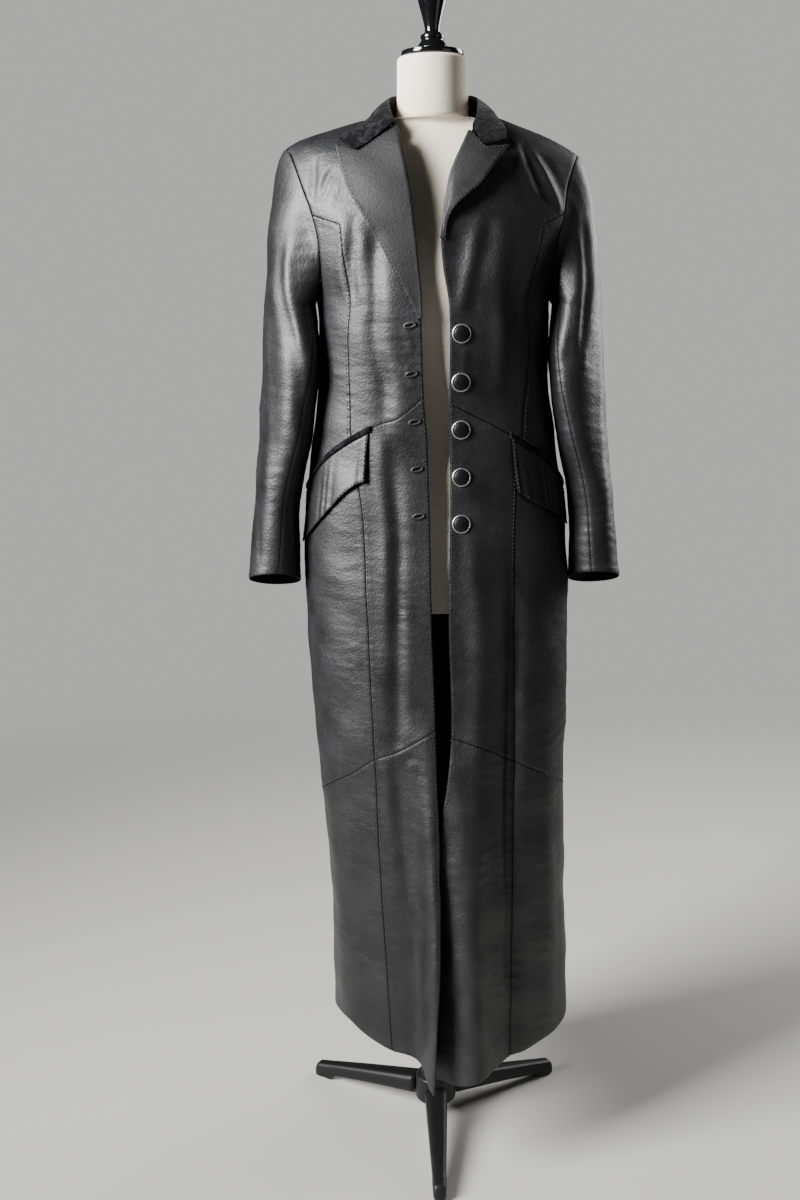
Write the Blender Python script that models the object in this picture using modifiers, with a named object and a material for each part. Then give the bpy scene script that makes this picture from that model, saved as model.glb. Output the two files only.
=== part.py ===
"""Full-length leather coat on a limbless dress form with a tripod stand.

Units are metres, +Z is up and the coat opens towards -Y. Right and left are
the wearer's: the right side is at -X. A place on the coat's body is given by
an angle round the body, from the centre front (0) past the side (90) to the
centre back (180), and by a height above the floor.
"""
import math
from collections import namedtuple

import bmesh
import bpy
from mathutils import Matrix, Vector

# Driving dimensions
CLOTH = 0.0018            # leather with its lining, as one wall
SEAM = 0.0005             # gap between neighbouring pieces
STAND_SHIFT = Vector((0.0, 0.040, 0.0))  # stand axis from the middle of the footprint
SHOULDER_ROUND = 0.16     # height over which the body rounds into the shoulder line
BODY_SQUARENESS = 2.25    # 2 is an ellipse, more is boxier
ARMPIT_HEIGHT = 1.366
SIDE_SEAM = 92.0
CENTRE_BACK = 180.0
NECK_POINT = 16.0         # angle where the shoulder line meets the neck
SHOULDER_TIP = 62.0       # angle where the shoulder line meets the sleeve
BACK_NECK_HEIGHT = 1.622
BICEP_HEIGHT = 1.355
CUFF_HEIGHT = 0.943
CUFF_TILT = 0.018         # front of the cuff above its middle
CAP_SHARE = 0.30          # part of the sleeve's length above the biceps
BUTTON_COUNT = 5
BUTTON_PITCH = 0.0685
TOP_BUTTON_HEIGHT = 1.318
TOP_BUTTONHOLE_HEIGHT = 1.330
BUTTON_INSET = 0.018      # from the front edge to the middle of a button
BUTTON_RADIUS = 0.0138
WELT_WIDTH = 0.011
NECK_RADIUS = 0.0514
NECK_BASE = 1.6207
NECK_TOP = 1.7075
FORM_BOTTOM = 0.905
POLE_RADIUS = 0.013
LEG_COUNT = 3

# Tables
Section = namedtuple("Section", "height half_width front back shift")
BODY = (
    Section(1.660, 0.250, 0.125, 0.125, 0.000),
    Section(1.580, 0.240, 0.122, 0.120, 0.000),
    Section(1.500, 0.220, 0.122, 0.116, 0.000),
    Section(1.430, 0.196, 0.128, 0.112, 0.000),
    Section(1.370, 0.175, 0.134, 0.108, 0.000),
    Section(1.300, 0.173, 0.132, 0.102, 0.000),
    Section(1.220, 0.176, 0.126, 0.098, 0.000),
    Section(1.140, 0.188, 0.124, 0.106, 0.000),
    Section(1.050, 0.199, 0.128, 0.124, 0.002),
    Section(0.950, 0.205, 0.134, 0.138, 0.003),
    Section(0.820, 0.204, 0.140, 0.146, 0.006),
    Section(0.600, 0.195, 0.146, 0.152, 0.013),
    Section(0.400, 0.191, 0.152, 0.158, 0.022),
    Section(0.130, 0.196, 0.162, 0.166, 0.027),
)

Level = namedtuple("Level", "angle right left")     # heights at an angle
Upright = namedtuple("Upright", "height right left")  # angles at a height
SHOULDER_LINE = (
    Level(0.0, 1.648, 1.648),
    Level(16.0, 1.627, 1.627),
    Level(62.0, 1.584, 1.570),
    Level(90.0, 1.560, 1.548),
)
WAIST_SEAM = (
    Level(0.0, 1.240, 1.226),
    Level(14.5, 1.199, 1.203),
    Level(24.0, 1.189, 1.188),
    Level(41.0, 1.164, 1.160),
    Level(55.0, 1.141, 1.140),
    Level(75.0, 1.100, 1.102),
    Level(92.0, 1.078, 1.078),
    Level(130.0, 1.100, 1.100),
    Level(180.0, 1.130, 1.130),
)
KNEE_SEAM = (
    Level(0.0, 0.737, 0.725),
    Level(16.0, 0.700, 0.702),
    Level(29.0, 0.682, 0.680),
    Level(45.0, 0.651, 0.655),
    Level(80.0, 0.605, 0.613),
    Level(92.0, 0.600, 0.605),
    Level(180.0, 0.620, 0.620),
)
HEM = (
    Level(0.0, 0.152, 0.165),
    Level(8.0, 0.162, 0.180),
    Level(12.0, 0.186, 0.184),
    Level(18.0, 0.197, 0.186),
    Level(28.0, 0.201, 0.193),
    Level(45.0, 0.212, 0.207),
    Level(70.0, 0.222, 0.213),
    Level(92.0, 0.218, 0.212),
    Level(135.0, 0.190, 0.190),
    Level(180.0, 0.172, 0.172),
)
OPENING_EDGE = (
    Upright(1.628, 16.2, 16.2),
    Upright(1.602, 10.8, 11.0),
    Upright(1.570, 9.6, 7.5),
    Upright(1.540, 8.5, 4.8),
    Upright(1.510, 7.6, 3.4),
    Upright(1.455, 6.7, 1.6),
    Upright(1.410, 6.1, 2.3),
    Upright(1.365, 5.4, 4.5),
    Upright(1.310, 5.0, 5.2),
    Upright(1.230, 4.2, 4.9),
    Upright(1.165, 2.7, 4.9),
    Upright(1.050, 2.2, 4.0),
    Upright(0.900, 2.1, 2.8),
    Upright(0.720, 2.0, 2.4),
    Upright(0.530, 2.3, -3.2),
    Upright(0.400, 3.4, -4.5),
    Upright(0.300, 4.6, -5.9),
    Upright(0.130, 7.0, -8.3),
)
PRINCESS_SEAM = (
    Upright(1.470, 37.0, 46.0),
    Upright(1.380, 41.5, 48.0),
    Upright(1.295, 44.5, 51.0),
    Upright(1.177, 40.4, 42.0),
    Upright(1.070, 31.5, 33.5),
    Upright(0.910, 28.6, 31.6),
    Upright(0.680, 29.0, 31.6),
    Upright(0.450, 30.8, 29.0),
    Upright(0.150, 27.0, 24.5),
)
ARMHOLE = (
    Upright(1.535, 55.0, 57.0),
    Upright(1.484, 52.5, 58.5),
    Upright(1.436, 55.0, 62.0),
    Upright(1.396, 63.0, 69.0),
    Upright(1.374, 77.0, 80.0),
)
YOKE_INNER_HEIGHT = 1.470
FLAP_BOTTOM = (
    Level(29.0, 1.106, 1.098),
    Level(33.0, 1.102, 1.093),
    Level(40.0, 1.088, 1.075),
    Level(55.0, 1.049, 1.056),
    Level(75.0, 1.010, 1.032),
    Level(88.0, 0.996, 1.020),
)
FLAP_ENDS = {-1: (29.3, 81.0), 1: (34.0, 81.0)}

Lapel = namedtuple("Lapel", "angle height")
LAPEL_EDGE = {
    -1: (
        Lapel(6.8, 1.338),
        Lapel(13.8, 1.390),
        Lapel(23.1, 1.468),
        Lapel(28.8, 1.510),
        Lapel(30.8, 1.540),
        Lapel(32.3, 1.575),
    ),
    1: (
        Lapel(2.9, 1.448),
        Lapel(3.6, 1.474),
        Lapel(6.0, 1.492),
        Lapel(10.2, 1.508),
        Lapel(15.0, 1.527),
        Lapel(23.0, 1.571),
    ),
}
LAPEL_NOTCH = {-1: Lapel(23.1, 1.566), 1: Lapel(14.5, 1.569)}
GORGE_HEIGHT = {-1: 1.600, 1: 1.594}
COLLAR_TIP = {-1: Lapel(31.0, 1.583), 1: Lapel(22.0, 1.580)}

Fold = namedtuple("Fold", "side top_angle top low_angle low spread rise")
RIGHT, LEFT, BOTH = -1, 1, 0
FOLDS = (
    Fold(RIGHT, 22.5, 1.500, 16.0, 0.700, 3.4, -0.0100),
    Fold(RIGHT, 39.0, 1.500, 41.0, 1.330, 4.0, 0.0060),
    Fold(RIGHT, 27.5, 1.520, 29.5, 1.290, 4.0, 0.0080),
    Fold(RIGHT, 10.5, 1.100, 9.5, 0.500, 4.0, 0.0040),
    Fold(RIGHT, 17.0, 0.740, 15.0, 0.340, 4.5, -0.0050),
    Fold(RIGHT, 4.0, 0.760, 7.0, -0.450, 5.5, 0.0480),
    Fold(RIGHT, 60.0, 0.900, 58.0, 0.000, 12.0, 0.0050),
    Fold(LEFT, 16.0, 1.560, 9.0, 1.270, 4.0, 0.0100),
    Fold(LEFT, 8.0, 1.520, 6.0, 1.330, 3.4, -0.0070),
    Fold(LEFT, 21.5, 1.550, 22.5, 1.160, 4.6, 0.0080),
    Fold(LEFT, 17.0, 1.060, 15.5, 0.360, 5.0, 0.0090),
    Fold(LEFT, 33.0, 1.060, 23.0, -0.050, 4.2, -0.0090),
    Fold(LEFT, 5.0, 0.760, 8.0, -0.450, 9.0, 0.0420),
    Fold(LEFT, 52.0, 0.800, 50.0, 0.000, 9.0, 0.0060),
    Fold(BOTH, 115.0, 1.020, 118.0, -0.200, 9.0, -0.0090),
    Fold(BOTH, 148.0, 1.060, 146.0, -0.200, 10.0, 0.0090),
    Fold(BOTH, 132.0, 1.330, 140.0, 1.020, 7.0, -0.0050),
)

Ring = namedtuple("Ring", "height outer inner front back swing")
SLEEVE = (
    Ring(1.355, 0.2550, 0.1760, -0.058, 0.080, -0.040),
    Ring(1.280, 0.2605, 0.1685, -0.050, 0.084, -0.068),
    Ring(1.170, 0.2690, 0.1825, -0.048, 0.080, -0.062),
    Ring(1.060, 0.2770, 0.2060, -0.060, 0.058, -0.026),
    Ring(0.943, 0.2870, 0.2070, -0.076, 0.024, 0.000),
)
SleeveSeam = namedtuple("SleeveSeam", "share front back")
SLEEVE_SEAMS = (
    SleeveSeam(0.00, 144.0, 234.0),
    SleeveSeam(0.35, 146.0, 232.0),
    SleeveSeam(0.65, 124.0, 226.0),
    SleeveSeam(1.00, 104.0, 222.0),
)
SleeveFold = namedtuple("SleeveFold", "side top_turn top low_turn low spread rise")
SLEEVE_FOLDS = (
    SleeveFold(RIGHT, 62.0, 0.12, 126.0, 0.72, 17.0, -0.0110),
    SleeveFold(RIGHT, 100.0, 0.10, 150.0, 0.50, 18.0, 0.0050),
    SleeveFold(RIGHT, 30.0, 0.30, 70.0, 0.95, 20.0, 0.0040),
    SleeveFold(LEFT, 66.0, 0.10, 84.0, 0.56, 12.0, -0.0110),
    SleeveFold(LEFT, 104.0, 0.16, 112.0, 0.80, 12.0, 0.0060),
    SleeveFold(BOTH, 290.0, 0.25, 262.0, 0.75, 18.0, -0.0060),
)

Collar = namedtuple("Collar", "turn seam_r seam_z roll_r roll_z middle_r middle_z edge_r edge_z")
COLLAR = (
    Collar(0.0, 0.0700, 1.6265, 0.0610, 1.6620, 0.0760, 1.6500, 0.0880, 1.6090),
    Collar(45.0, 0.0710, 1.6285, 0.0600, 1.6600, 0.0760, 1.6500, 0.0900, 1.6165),
    Collar(85.0, 0.0735, 1.6315, 0.0590, 1.6545, 0.0735, 1.6460, 0.0885, 1.6300),
    Collar(112.0, 0.0790, 1.6260, 0.0680, 1.6440, 0.0860, 1.6335, 0.1010, 1.6195),
)

FormSection = namedtuple("FormSection", "height half_width front back squareness")
FORM = (
    FormSection(1.6205, 0.0720, 0.0550, 0.0500, 2.0),
    FormSection(1.6160, 0.1035, 0.0470, 0.0470, 1.7),
    FormSection(1.6065, 0.1290, 0.0480, 0.0510, 1.7),
    FormSection(1.5850, 0.1580, 0.0580, 0.0640, 1.8),
    FormSection(1.5500, 0.1720, 0.0730, 0.0780, 2.0),
    FormSection(1.4500, 0.1600, 0.1040, 0.0920, 2.1),
    FormSection(1.3700, 0.1500, 0.1160, 0.0920, 2.1),
    FormSection(1.2800, 0.1380, 0.1060, 0.0820, 2.1),
    FormSection(1.1900, 0.1280, 0.0960, 0.0760, 2.1),
    FormSection(1.1000, 0.1500, 0.1020, 0.0920, 2.1),
    FormSection(1.0000, 0.1700, 0.1100, 0.1100, 2.1),
    FormSection(0.9300, 0.1740, 0.1120, 0.1160, 2.1),
    FormSection(0.9050, 0.1720, 0.1100, 0.1140, 2.1),
)
Turning = namedtuple("Turning", "radius height")
CAP_PROFILE = (
    Turning(0.0000, 0.1120),
    Turning(0.0120, 0.1105),
    Turning(0.0205, 0.1020),
    Turning(0.0225, 0.0900),
    Turning(0.0205, 0.0760),
    Turning(0.0150, 0.0560),
    Turning(0.0112, 0.0400),
    Turning(0.0116, 0.0330),
    Turning(0.0165, 0.0300),
    Turning(0.0172, 0.0260),
    Turning(0.0160, 0.0225),
    Turning(0.0200, 0.0170),
    Turning(0.0225, 0.0120),
    Turning(0.0225, 0.0095),
    Turning(0.0420, 0.0085),
    Turning(0.0449, 0.0060),
    Turning(0.0449, 0.0020),
    Turning(0.0430, 0.0000),
    Turning(0.0000, 0.0000),
)
HUB_PROFILE = (
    Turning(0.0000, 0.1150),
    Turning(0.0200, 0.1150),
    Turning(0.0230, 0.1120),
    Turning(0.0240, 0.0780),
    Turning(0.0330, 0.0740),
    Turning(0.0340, 0.0340),
    Turning(0.0300, 0.0300),
    Turning(0.0000, 0.0300),
)
LegSection = namedtuple("LegSection", "reach half_width low high")
LEG = (
    LegSection(0.0345, 0.0190, 0.0320, 0.0660),
    LegSection(0.1350, 0.0145, 0.0200, 0.0470),
    LegSection(0.2000, 0.0115, 0.0100, 0.0340),
    LegSection(0.2120, 0.0115, 0.0000, 0.0315),
    LegSection(0.2450, 0.0100, 0.0000, 0.0250),
)

# Grids of the panels. Rows on a shared seam match, so that neighbours keep their gap
PRINCESS_ROWS = 9
SIDE_ROWS = 4
YOKE_ROWS = 3
ARMHOLE_ROWS = 5          # on each of an armhole's four quarters
SHOULDER_COLUMNS = 5
BACK_NECK_COLUMNS = 3
Panel = namedtuple("Panel", "columns rows width length")
PANELS = {
    "front_chest": Panel(9, PRINCESS_ROWS + YOKE_ROWS + ARMHOLE_ROWS, 0.10, 0.40),
    "side_chest": Panel(6, SIDE_ROWS + ARMHOLE_ROWS, 0.12, 0.30),
    "back_chest": Panel(SHOULDER_COLUMNS + BACK_NECK_COLUMNS, SIDE_ROWS + 2 * ARMHOLE_ROWS, 0.19, 0.45),
    "front_skirt": Panel(9, 8, 0.11, 0.50),
    "front_hem": Panel(9, 8, 0.11, 0.50),
    "side_skirt": Panel(6, 8, 0.18, 0.50),
    "side_hem": Panel(6, 8, 0.18, 0.50),
    "back_skirt": Panel(9, 8, 0.28, 0.48),
    "back_hem": Panel(9, 8, 0.28, 0.48),
    "under_sleeve": Panel(ARMHOLE_ROWS, 14, 0.08, 0.60),
    "top_sleeve": Panel(3 * ARMHOLE_ROWS, 14, 0.20, 0.60),
    "lapel": Panel(8, 12, 0.10, 0.25),
    "collar": Panel(24, 7, 0.45, 0.09),
    "pocket_welt": Panel(10, 2, 0.16, 0.011),
    "pocket_flap": Panel(10, 5, 0.16, 0.07),
}

# Finishes: base colour, roughness, metallic
FINISHES = {
    "black_nappa": ((0.012, 0.012, 0.013), 0.42, 0.0),
    "black_velvet": ((0.006, 0.006, 0.006), 0.95, 0.0),
    "button_rim_steel": ((0.42, 0.42, 0.43), 0.35, 1.0),
    "cream_linen": ((0.74, 0.69, 0.60), 0.9, 0.0),
    "black_lacquer": ((0.01, 0.01, 0.01), 0.2, 0.0),
    "pole_enamel": ((0.012, 0.012, 0.012), 0.3, 0.0),
    "black_iron": ((0.015, 0.015, 0.015), 0.5, 0.6),
}


def blend(a, b, share):
    """Value between two numbers or vectors."""
    return a + (b - a) * share


def smooth(share):
    """Ease from 0 to 1."""
    share = min(max(share, 0.0), 1.0)
    return share * share * (3.0 - 2.0 * share)


def column(rows, name, at):
    """Smooth curve through one column of a table, read at a value of its first column."""
    points = sorted((row[0], getattr(row, name)) for row in rows)
    if at <= points[0][0]:
        return points[0][1]
    if at >= points[-1][0]:
        return points[-1][1]
    first = max(k for k in range(len(points) - 1) if points[k][0] <= at)

    def slope(k):
        low, high = max(k - 1, 0), min(k + 1, len(points) - 1)
        return (points[high][1] - points[low][1]) / (points[high][0] - points[low][0])

    (x0, y0), (x1, y1) = points[first], points[first + 1]
    step = x1 - x0
    t = (at - x0) / step
    start = y0 * (1 + 2 * t) * (1 - t) ** 2 + slope(first) * step * t * (1 - t) ** 2
    return start + y1 * t * t * (3 - 2 * t) - slope(first + 1) * step * t * t * (1 - t)


def wearer(side):
    """Name of a side of the wearer."""
    return "right" if side < 0 else "left"


def side_column(rows, side, at):
    """Column of a table that has one for each side of the wearer."""
    return column(rows, wearer(side), at)


def spline(points, share):
    """Smooth curve through evenly weighted vectors."""
    place = min(max(share, 0.0), 1.0) * (len(points) - 1)
    first = min(int(place), len(points) - 2)
    t = place - first
    p1, p2 = points[first], points[first + 1]
    before = points[first - 1] if first else p1
    after = points[first + 2] if first + 2 < len(points) else p2
    leave, arrive = (p2 - before) / 2, (after - p1) / 2
    start = p1 * ((1 + 2 * t) * (1 - t) ** 2) + leave * (t * (1 - t) ** 2)
    return start + p2 * (t * t * (3 - 2 * t)) - arrive * (t * t * (1 - t))


# Coat body
SEAM_ROUNDS = 10          # rounds in which a seam settles on its place


def shoulder_height(angle, side):
    """Height of the shoulder line above a place on the body."""
    front_angle = CENTRE_BACK - angle if angle > 90.0 else angle
    return side_column(SHOULDER_LINE, side, front_angle)


def drop_at(angle, height, side):
    """Square-root drop below the shoulder line: even steps near a round shoulder."""
    return math.sqrt(max(shoulder_height(angle, side) - height, 0.0) / SHOULDER_ROUND)


def fold_rise(folds, side, along_at, across_at):
    """Height of all folds at a place: each is a soft ridge or trough along a slanted line."""
    total = 0.0
    for fold in folds:
        if fold.side not in (BOTH, side):
            continue
        share = (along_at - fold.top) / (fold.low - fold.top)
        if not 0.0 < share < 1.0:
            continue
        offset = (across_at - blend(fold[1], fold[3], share)) / fold.spread
        total += fold.rise * math.sin(math.pi * share) * math.exp(-offset * offset)
    return total


def body_point(side, angle, drop):
    """Point of the coat's outer surface."""
    height = shoulder_height(angle, side) - SHOULDER_ROUND * drop * drop
    sine, cosine = math.sin(math.radians(angle)), math.cos(math.radians(angle))
    power = 2.0 / BODY_SQUARENESS
    depth = column(BODY, "front" if cosine > 0 else "back", height)
    rounding = drop * math.sqrt(2.0 - drop * drop) if drop < 1.0 else 1.0
    x = side * column(BODY, "half_width", height) * math.copysign(abs(sine) ** power, sine)
    y = -depth * math.copysign(abs(cosine) ** power, cosine) * rounding
    rise = fold_rise(FOLDS, side, height, angle) * rounding
    shift = column(BODY, "shift", height)
    return Vector((x + shift + side * sine * rise, y - cosine * rise, height))


def body_normal(side, angle, drop):
    """Outward direction of the coat's outer surface."""
    step = 0.01
    low = max(drop, step)
    round_body = body_point(side, angle + 10 * step, low) - body_point(side, angle - 10 * step, low)
    down_body = body_point(side, angle, low + step) - body_point(side, angle, low - step)
    return (down_body.cross(round_body) * side).normalized()


def body_place(side, angle, drop, lift=0.0):
    """Point at a height above (or below, if negative) the coat's outer surface."""
    return body_point(side, angle, drop) + body_normal(side, angle, drop) * lift


def at_height(side, angle, height):
    """Angle and drop as one pair, for a place given by its height."""
    return Vector((angle, drop_at(angle, height, side)))


def upright_seam(rows, side, low, high):
    """Seam that runs up the body in even drops, as a function of its share from low to high."""
    ends = [drop_at(side_column(rows, side, height), height, side) for height in (low, high)]

    def place(share):
        drop = blend(ends[0], ends[1], share)
        height = blend(low, high, share)
        for _ in range(SEAM_ROUNDS):
            angle = side_column(rows, side, height)
            height = shoulder_height(angle, side) - SHOULDER_ROUND * drop * drop
        return Vector((angle, drop))
    return place


def fixed_seam(side, angle, low, high):
    """Seam at one angle, as a function of its share from low to high."""
    return lambda share: at_height(side, angle, blend(low, high, share))


def level_seam(rows, side, start, end):
    """Seam that runs round the body between two angles."""
    def place(share):
        angle = blend(start, end, share)
        return at_height(side, angle, side_column(rows, side, angle))
    return place


def straight_seam(start, end):
    """Straight line between two places."""
    return lambda share: blend(start, end, share)


def joined_seam(*legs):
    """Seam of several legs, each with its number of rows."""
    rows = sum(count for count, _ in legs)

    def place(share):
        left = share * rows
        for count, leg in legs:
            if left <= count + 1e-6:
                return leg(min(left / count, 1.0))
            left -= count
        return legs[-1][1](1.0)
    return place


def crossing(upright, level, side):
    """Angle and height where an upright seam crosses a level one."""
    height = side_column(level, side, 30.0)
    for _ in range(SEAM_ROUNDS):
        angle = side_column(upright, side, height)
        height = side_column(level, side, angle)
    return angle, height


YOKE_SHARE = 4.0 / 6.0    # share of the armhole below the yoke seam
BACK_SWING_SHARE = 0.25   # share over which the back armhole swings out of the side seam


def armhole_seam(side, start, end, back=False):
    """Stretch of the armhole between two shares: 0 is the armpit, 1 the shoulder tip."""
    knots = [at_height(side, SIDE_SEAM, ARMPIT_HEIGHT)]
    for row in reversed(ARMHOLE):
        knots.append(at_height(side, side_column(ARMHOLE, side, row.height), row.height))
    knots.append(Vector((SHOULDER_TIP, 0.0)))

    def place(share):
        point = spline(knots, blend(start, end, share))
        if back:
            swing = smooth(blend(start, end, share) / BACK_SWING_SHARE)
            mirrored = Vector((CENTRE_BACK - point.x, point.y))
            return blend(Vector((SIDE_SEAM, point.y)), mirrored, swing)
        return point
    return place


def patch(left, right, bottom, top):
    """Place inside four seams, from its shares across and up."""
    corners = left(0.0), right(0.0), left(1.0), right(1.0)

    def place(across, up):
        sides = blend(left(up), right(up), across)
        ends = blend(bottom(across), top(across), up)
        flat = blend(blend(corners[0], corners[1], across),
                     blend(corners[2], corners[3], across), up)
        return sides + ends - flat
    return place


# Meshes
def material(name):
    """Principled material of a finish."""
    finish = bpy.data.materials.get(name)
    if finish is None:
        colour, roughness, metallic = FINISHES[name]
        finish = bpy.data.materials.new(name)
        finish.use_nodes = True
        shader = finish.node_tree.nodes["Principled BSDF"]
        shader.inputs["Base Color"].default_value = (*colour, 1.0)
        shader.inputs["Roughness"].default_value = roughness
        shader.inputs["Metallic"].default_value = metallic
    return finish


def add_object(name, mesh, finish):
    """Object in the coat's collection, carried by the stand's axis."""
    if not mesh.materials:
        mesh.materials.append(material(finish))
    piece = bpy.data.objects.new(name, mesh)
    parts.objects.link(piece)
    piece.parent = stand_axis
    return piece


def finish_mesh(name, bm, finish, sharp=35.0):
    """Turn a bmesh into an object, shaded smooth up to an angle."""
    bmesh.ops.recalc_face_normals(bm, faces=bm.faces)
    if bm.calc_volume(signed=True) < 0.0:
        bmesh.ops.reverse_faces(bm, faces=bm.faces)
    mesh = bpy.data.meshes.new(name)
    bm.to_mesh(mesh)
    bm.free()
    mesh.shade_smooth()
    mesh.set_sharp_from_angle(angle=math.radians(sharp))
    return add_object(name, mesh, finish)


def wall(kind, side, place, finish, thickness=CLOTH):
    """Cloth wall over a panel's grid: place gives a point from its shares and its depth in the wall."""
    bm = bmesh.new()
    panel = PANELS[kind]
    bmesh.ops.create_grid(bm, x_segments=panel.columns, y_segments=panel.rows, size=0.5)
    across = bm.verts.layers.float.new("across")
    up = bm.verts.layers.float.new("up")
    for vert in bm.verts:
        vert[across] = vert.co.x + 0.5
        vert[up] = vert.co.y + 0.5
    inner = bmesh.ops.extrude_face_region(bm, geom=bm.faces[:], use_keep_orig=True)
    inside = {part for part in inner["geom"] if isinstance(part, bmesh.types.BMVert)}
    for vert in bm.verts:
        vert.co = place(vert[across], vert[up], thickness if vert in inside else 0.0)
    return finish_mesh(f"{kind}_{wearer(side)}" if side else kind, bm, finish)


def loft(name, place, around, rows, finish, sharp=35.0):
    """Closed solid through rings: place gives a point from its shares round and along."""
    bm = bmesh.new()
    bmesh.ops.create_grid(bm, x_segments=around, y_segments=rows, size=0.5)
    for vert in bm.verts:
        turn = (vert.co.x + 0.5) % 1.0
        vert.co = place(0.0 if turn > 1.0 - 1e-4 else turn, vert.co.y + 0.5)
    bmesh.ops.remove_doubles(bm, verts=bm.verts, dist=1e-6)
    bmesh.ops.holes_fill(bm, edges=[edge for edge in bm.edges if edge.is_boundary], sides=0)
    return finish_mesh(name, bm, finish, sharp)


def turned(name, profile, steps, finish, base=0.0):
    """Turned solid from a profile that runs down its outer side."""
    mesh = bpy.data.meshes.new(name)
    points = [(row.radius, 0.0, base + row.height) for row in profile]
    mesh.from_pydata(points, [(k, k + 1) for k in range(len(points) - 1)], [])
    piece = add_object(name, mesh, finish)
    screw = piece.modifiers.new("turn", "SCREW")
    screw.steps = screw.render_steps = steps
    screw.use_merge_vertices = True
    screw.merge_threshold = 0.00001
    return piece


def inset(share, gap):
    """Share of a panel moved in from both of its seams by a gap."""
    return gap + share * (1.0 - 2.0 * gap)


YOKE_GAP = 0.0008         # a side front keeps clear of the centre front's facets above it
SHOULDER_GAP = 0.0008     # fronts and backs keep clear of each other on the shoulder line


def body_panel(kind, side, shape, top_gap=SEAM / 2.0):
    """Panel of the coat's body, with half a seam gap round it."""
    half = SEAM / 2.0
    panel = PANELS[kind]

    def place(across, up, depth):
        share = blend(half / panel.length, 1.0 - top_gap / panel.length, up)
        angle, drop = shape(inset(across, half / panel.width), share)
        return body_place(side, angle, max(drop, 0.0), -depth)
    return wall(kind, side, place, "black_nappa")


# Panels of the coat's body
def build_fronts(side):
    """Three tiers of a centre front and a side front."""
    front_waist = crossing(OPENING_EDGE, WAIST_SEAM, side)
    front_knee = crossing(OPENING_EDGE, KNEE_SEAM, side)
    front_hem = crossing(OPENING_EDGE, HEM, side)
    middle_waist = crossing(PRINCESS_SEAM, WAIST_SEAM, side)
    middle_knee = crossing(PRINCESS_SEAM, KNEE_SEAM, side)
    middle_hem = crossing(PRINCESS_SEAM, HEM, side)
    side_heights = [side_column(rows, side, SIDE_SEAM) for rows in (WAIST_SEAM, KNEE_SEAM, HEM)]

    yoke_inner = at_height(side, side_column(PRINCESS_SEAM, side, YOKE_INNER_HEIGHT), YOKE_INNER_HEIGHT)
    yoke = straight_seam(yoke_inner, armhole_seam(side, 0.0, 1.0)(YOKE_SHARE))
    neck = shoulder_height(NECK_POINT, side)
    shape = patch(
        upright_seam(OPENING_EDGE, side, front_waist[1], neck),
        joined_seam((PRINCESS_ROWS, upright_seam(PRINCESS_SEAM, side, middle_waist[1], YOKE_INNER_HEIGHT)),
                    (YOKE_ROWS, yoke),
                    (ARMHOLE_ROWS, armhole_seam(side, YOKE_SHARE, 1.0))),
        level_seam(WAIST_SEAM, side, front_waist[0], middle_waist[0]),
        straight_seam(Vector((NECK_POINT, 0.0)), Vector((SHOULDER_TIP, 0.0))))
    body_panel("front_chest", side, shape, SHOULDER_GAP)

    shape = patch(
        upright_seam(PRINCESS_SEAM, side, middle_waist[1], YOKE_INNER_HEIGHT),
        joined_seam((SIDE_ROWS, fixed_seam(side, SIDE_SEAM, side_heights[0], ARMPIT_HEIGHT)),
                    (ARMHOLE_ROWS, armhole_seam(side, 0.0, YOKE_SHARE))),
        level_seam(WAIST_SEAM, side, middle_waist[0], SIDE_SEAM),
        yoke)
    body_panel("side_chest", side, shape, YOKE_GAP)

    tiers = (("skirt", front_waist, front_knee, middle_waist, middle_knee, 0, WAIST_SEAM, KNEE_SEAM),
             ("hem", front_knee, front_hem, middle_knee, middle_hem, 1, KNEE_SEAM, HEM))
    for tier, front_top, front_low, middle_top, middle_low, step, top, low in tiers:
        shape = patch(
            upright_seam(OPENING_EDGE, side, front_low[1], front_top[1]),
            upright_seam(PRINCESS_SEAM, side, middle_low[1], middle_top[1]),
            level_seam(low, side, front_low[0], middle_low[0]),
            level_seam(top, side, front_top[0], middle_top[0]))
        body_panel(f"front_{tier}", side, shape)
        shape = patch(
            upright_seam(PRINCESS_SEAM, side, middle_low[1], middle_top[1]),
            fixed_seam(side, SIDE_SEAM, side_heights[step + 1], side_heights[step]),
            level_seam(low, side, middle_low[0], SIDE_SEAM),
            level_seam(top, side, middle_top[0], SIDE_SEAM))
        body_panel(f"side_{tier}", side, shape)


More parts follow.
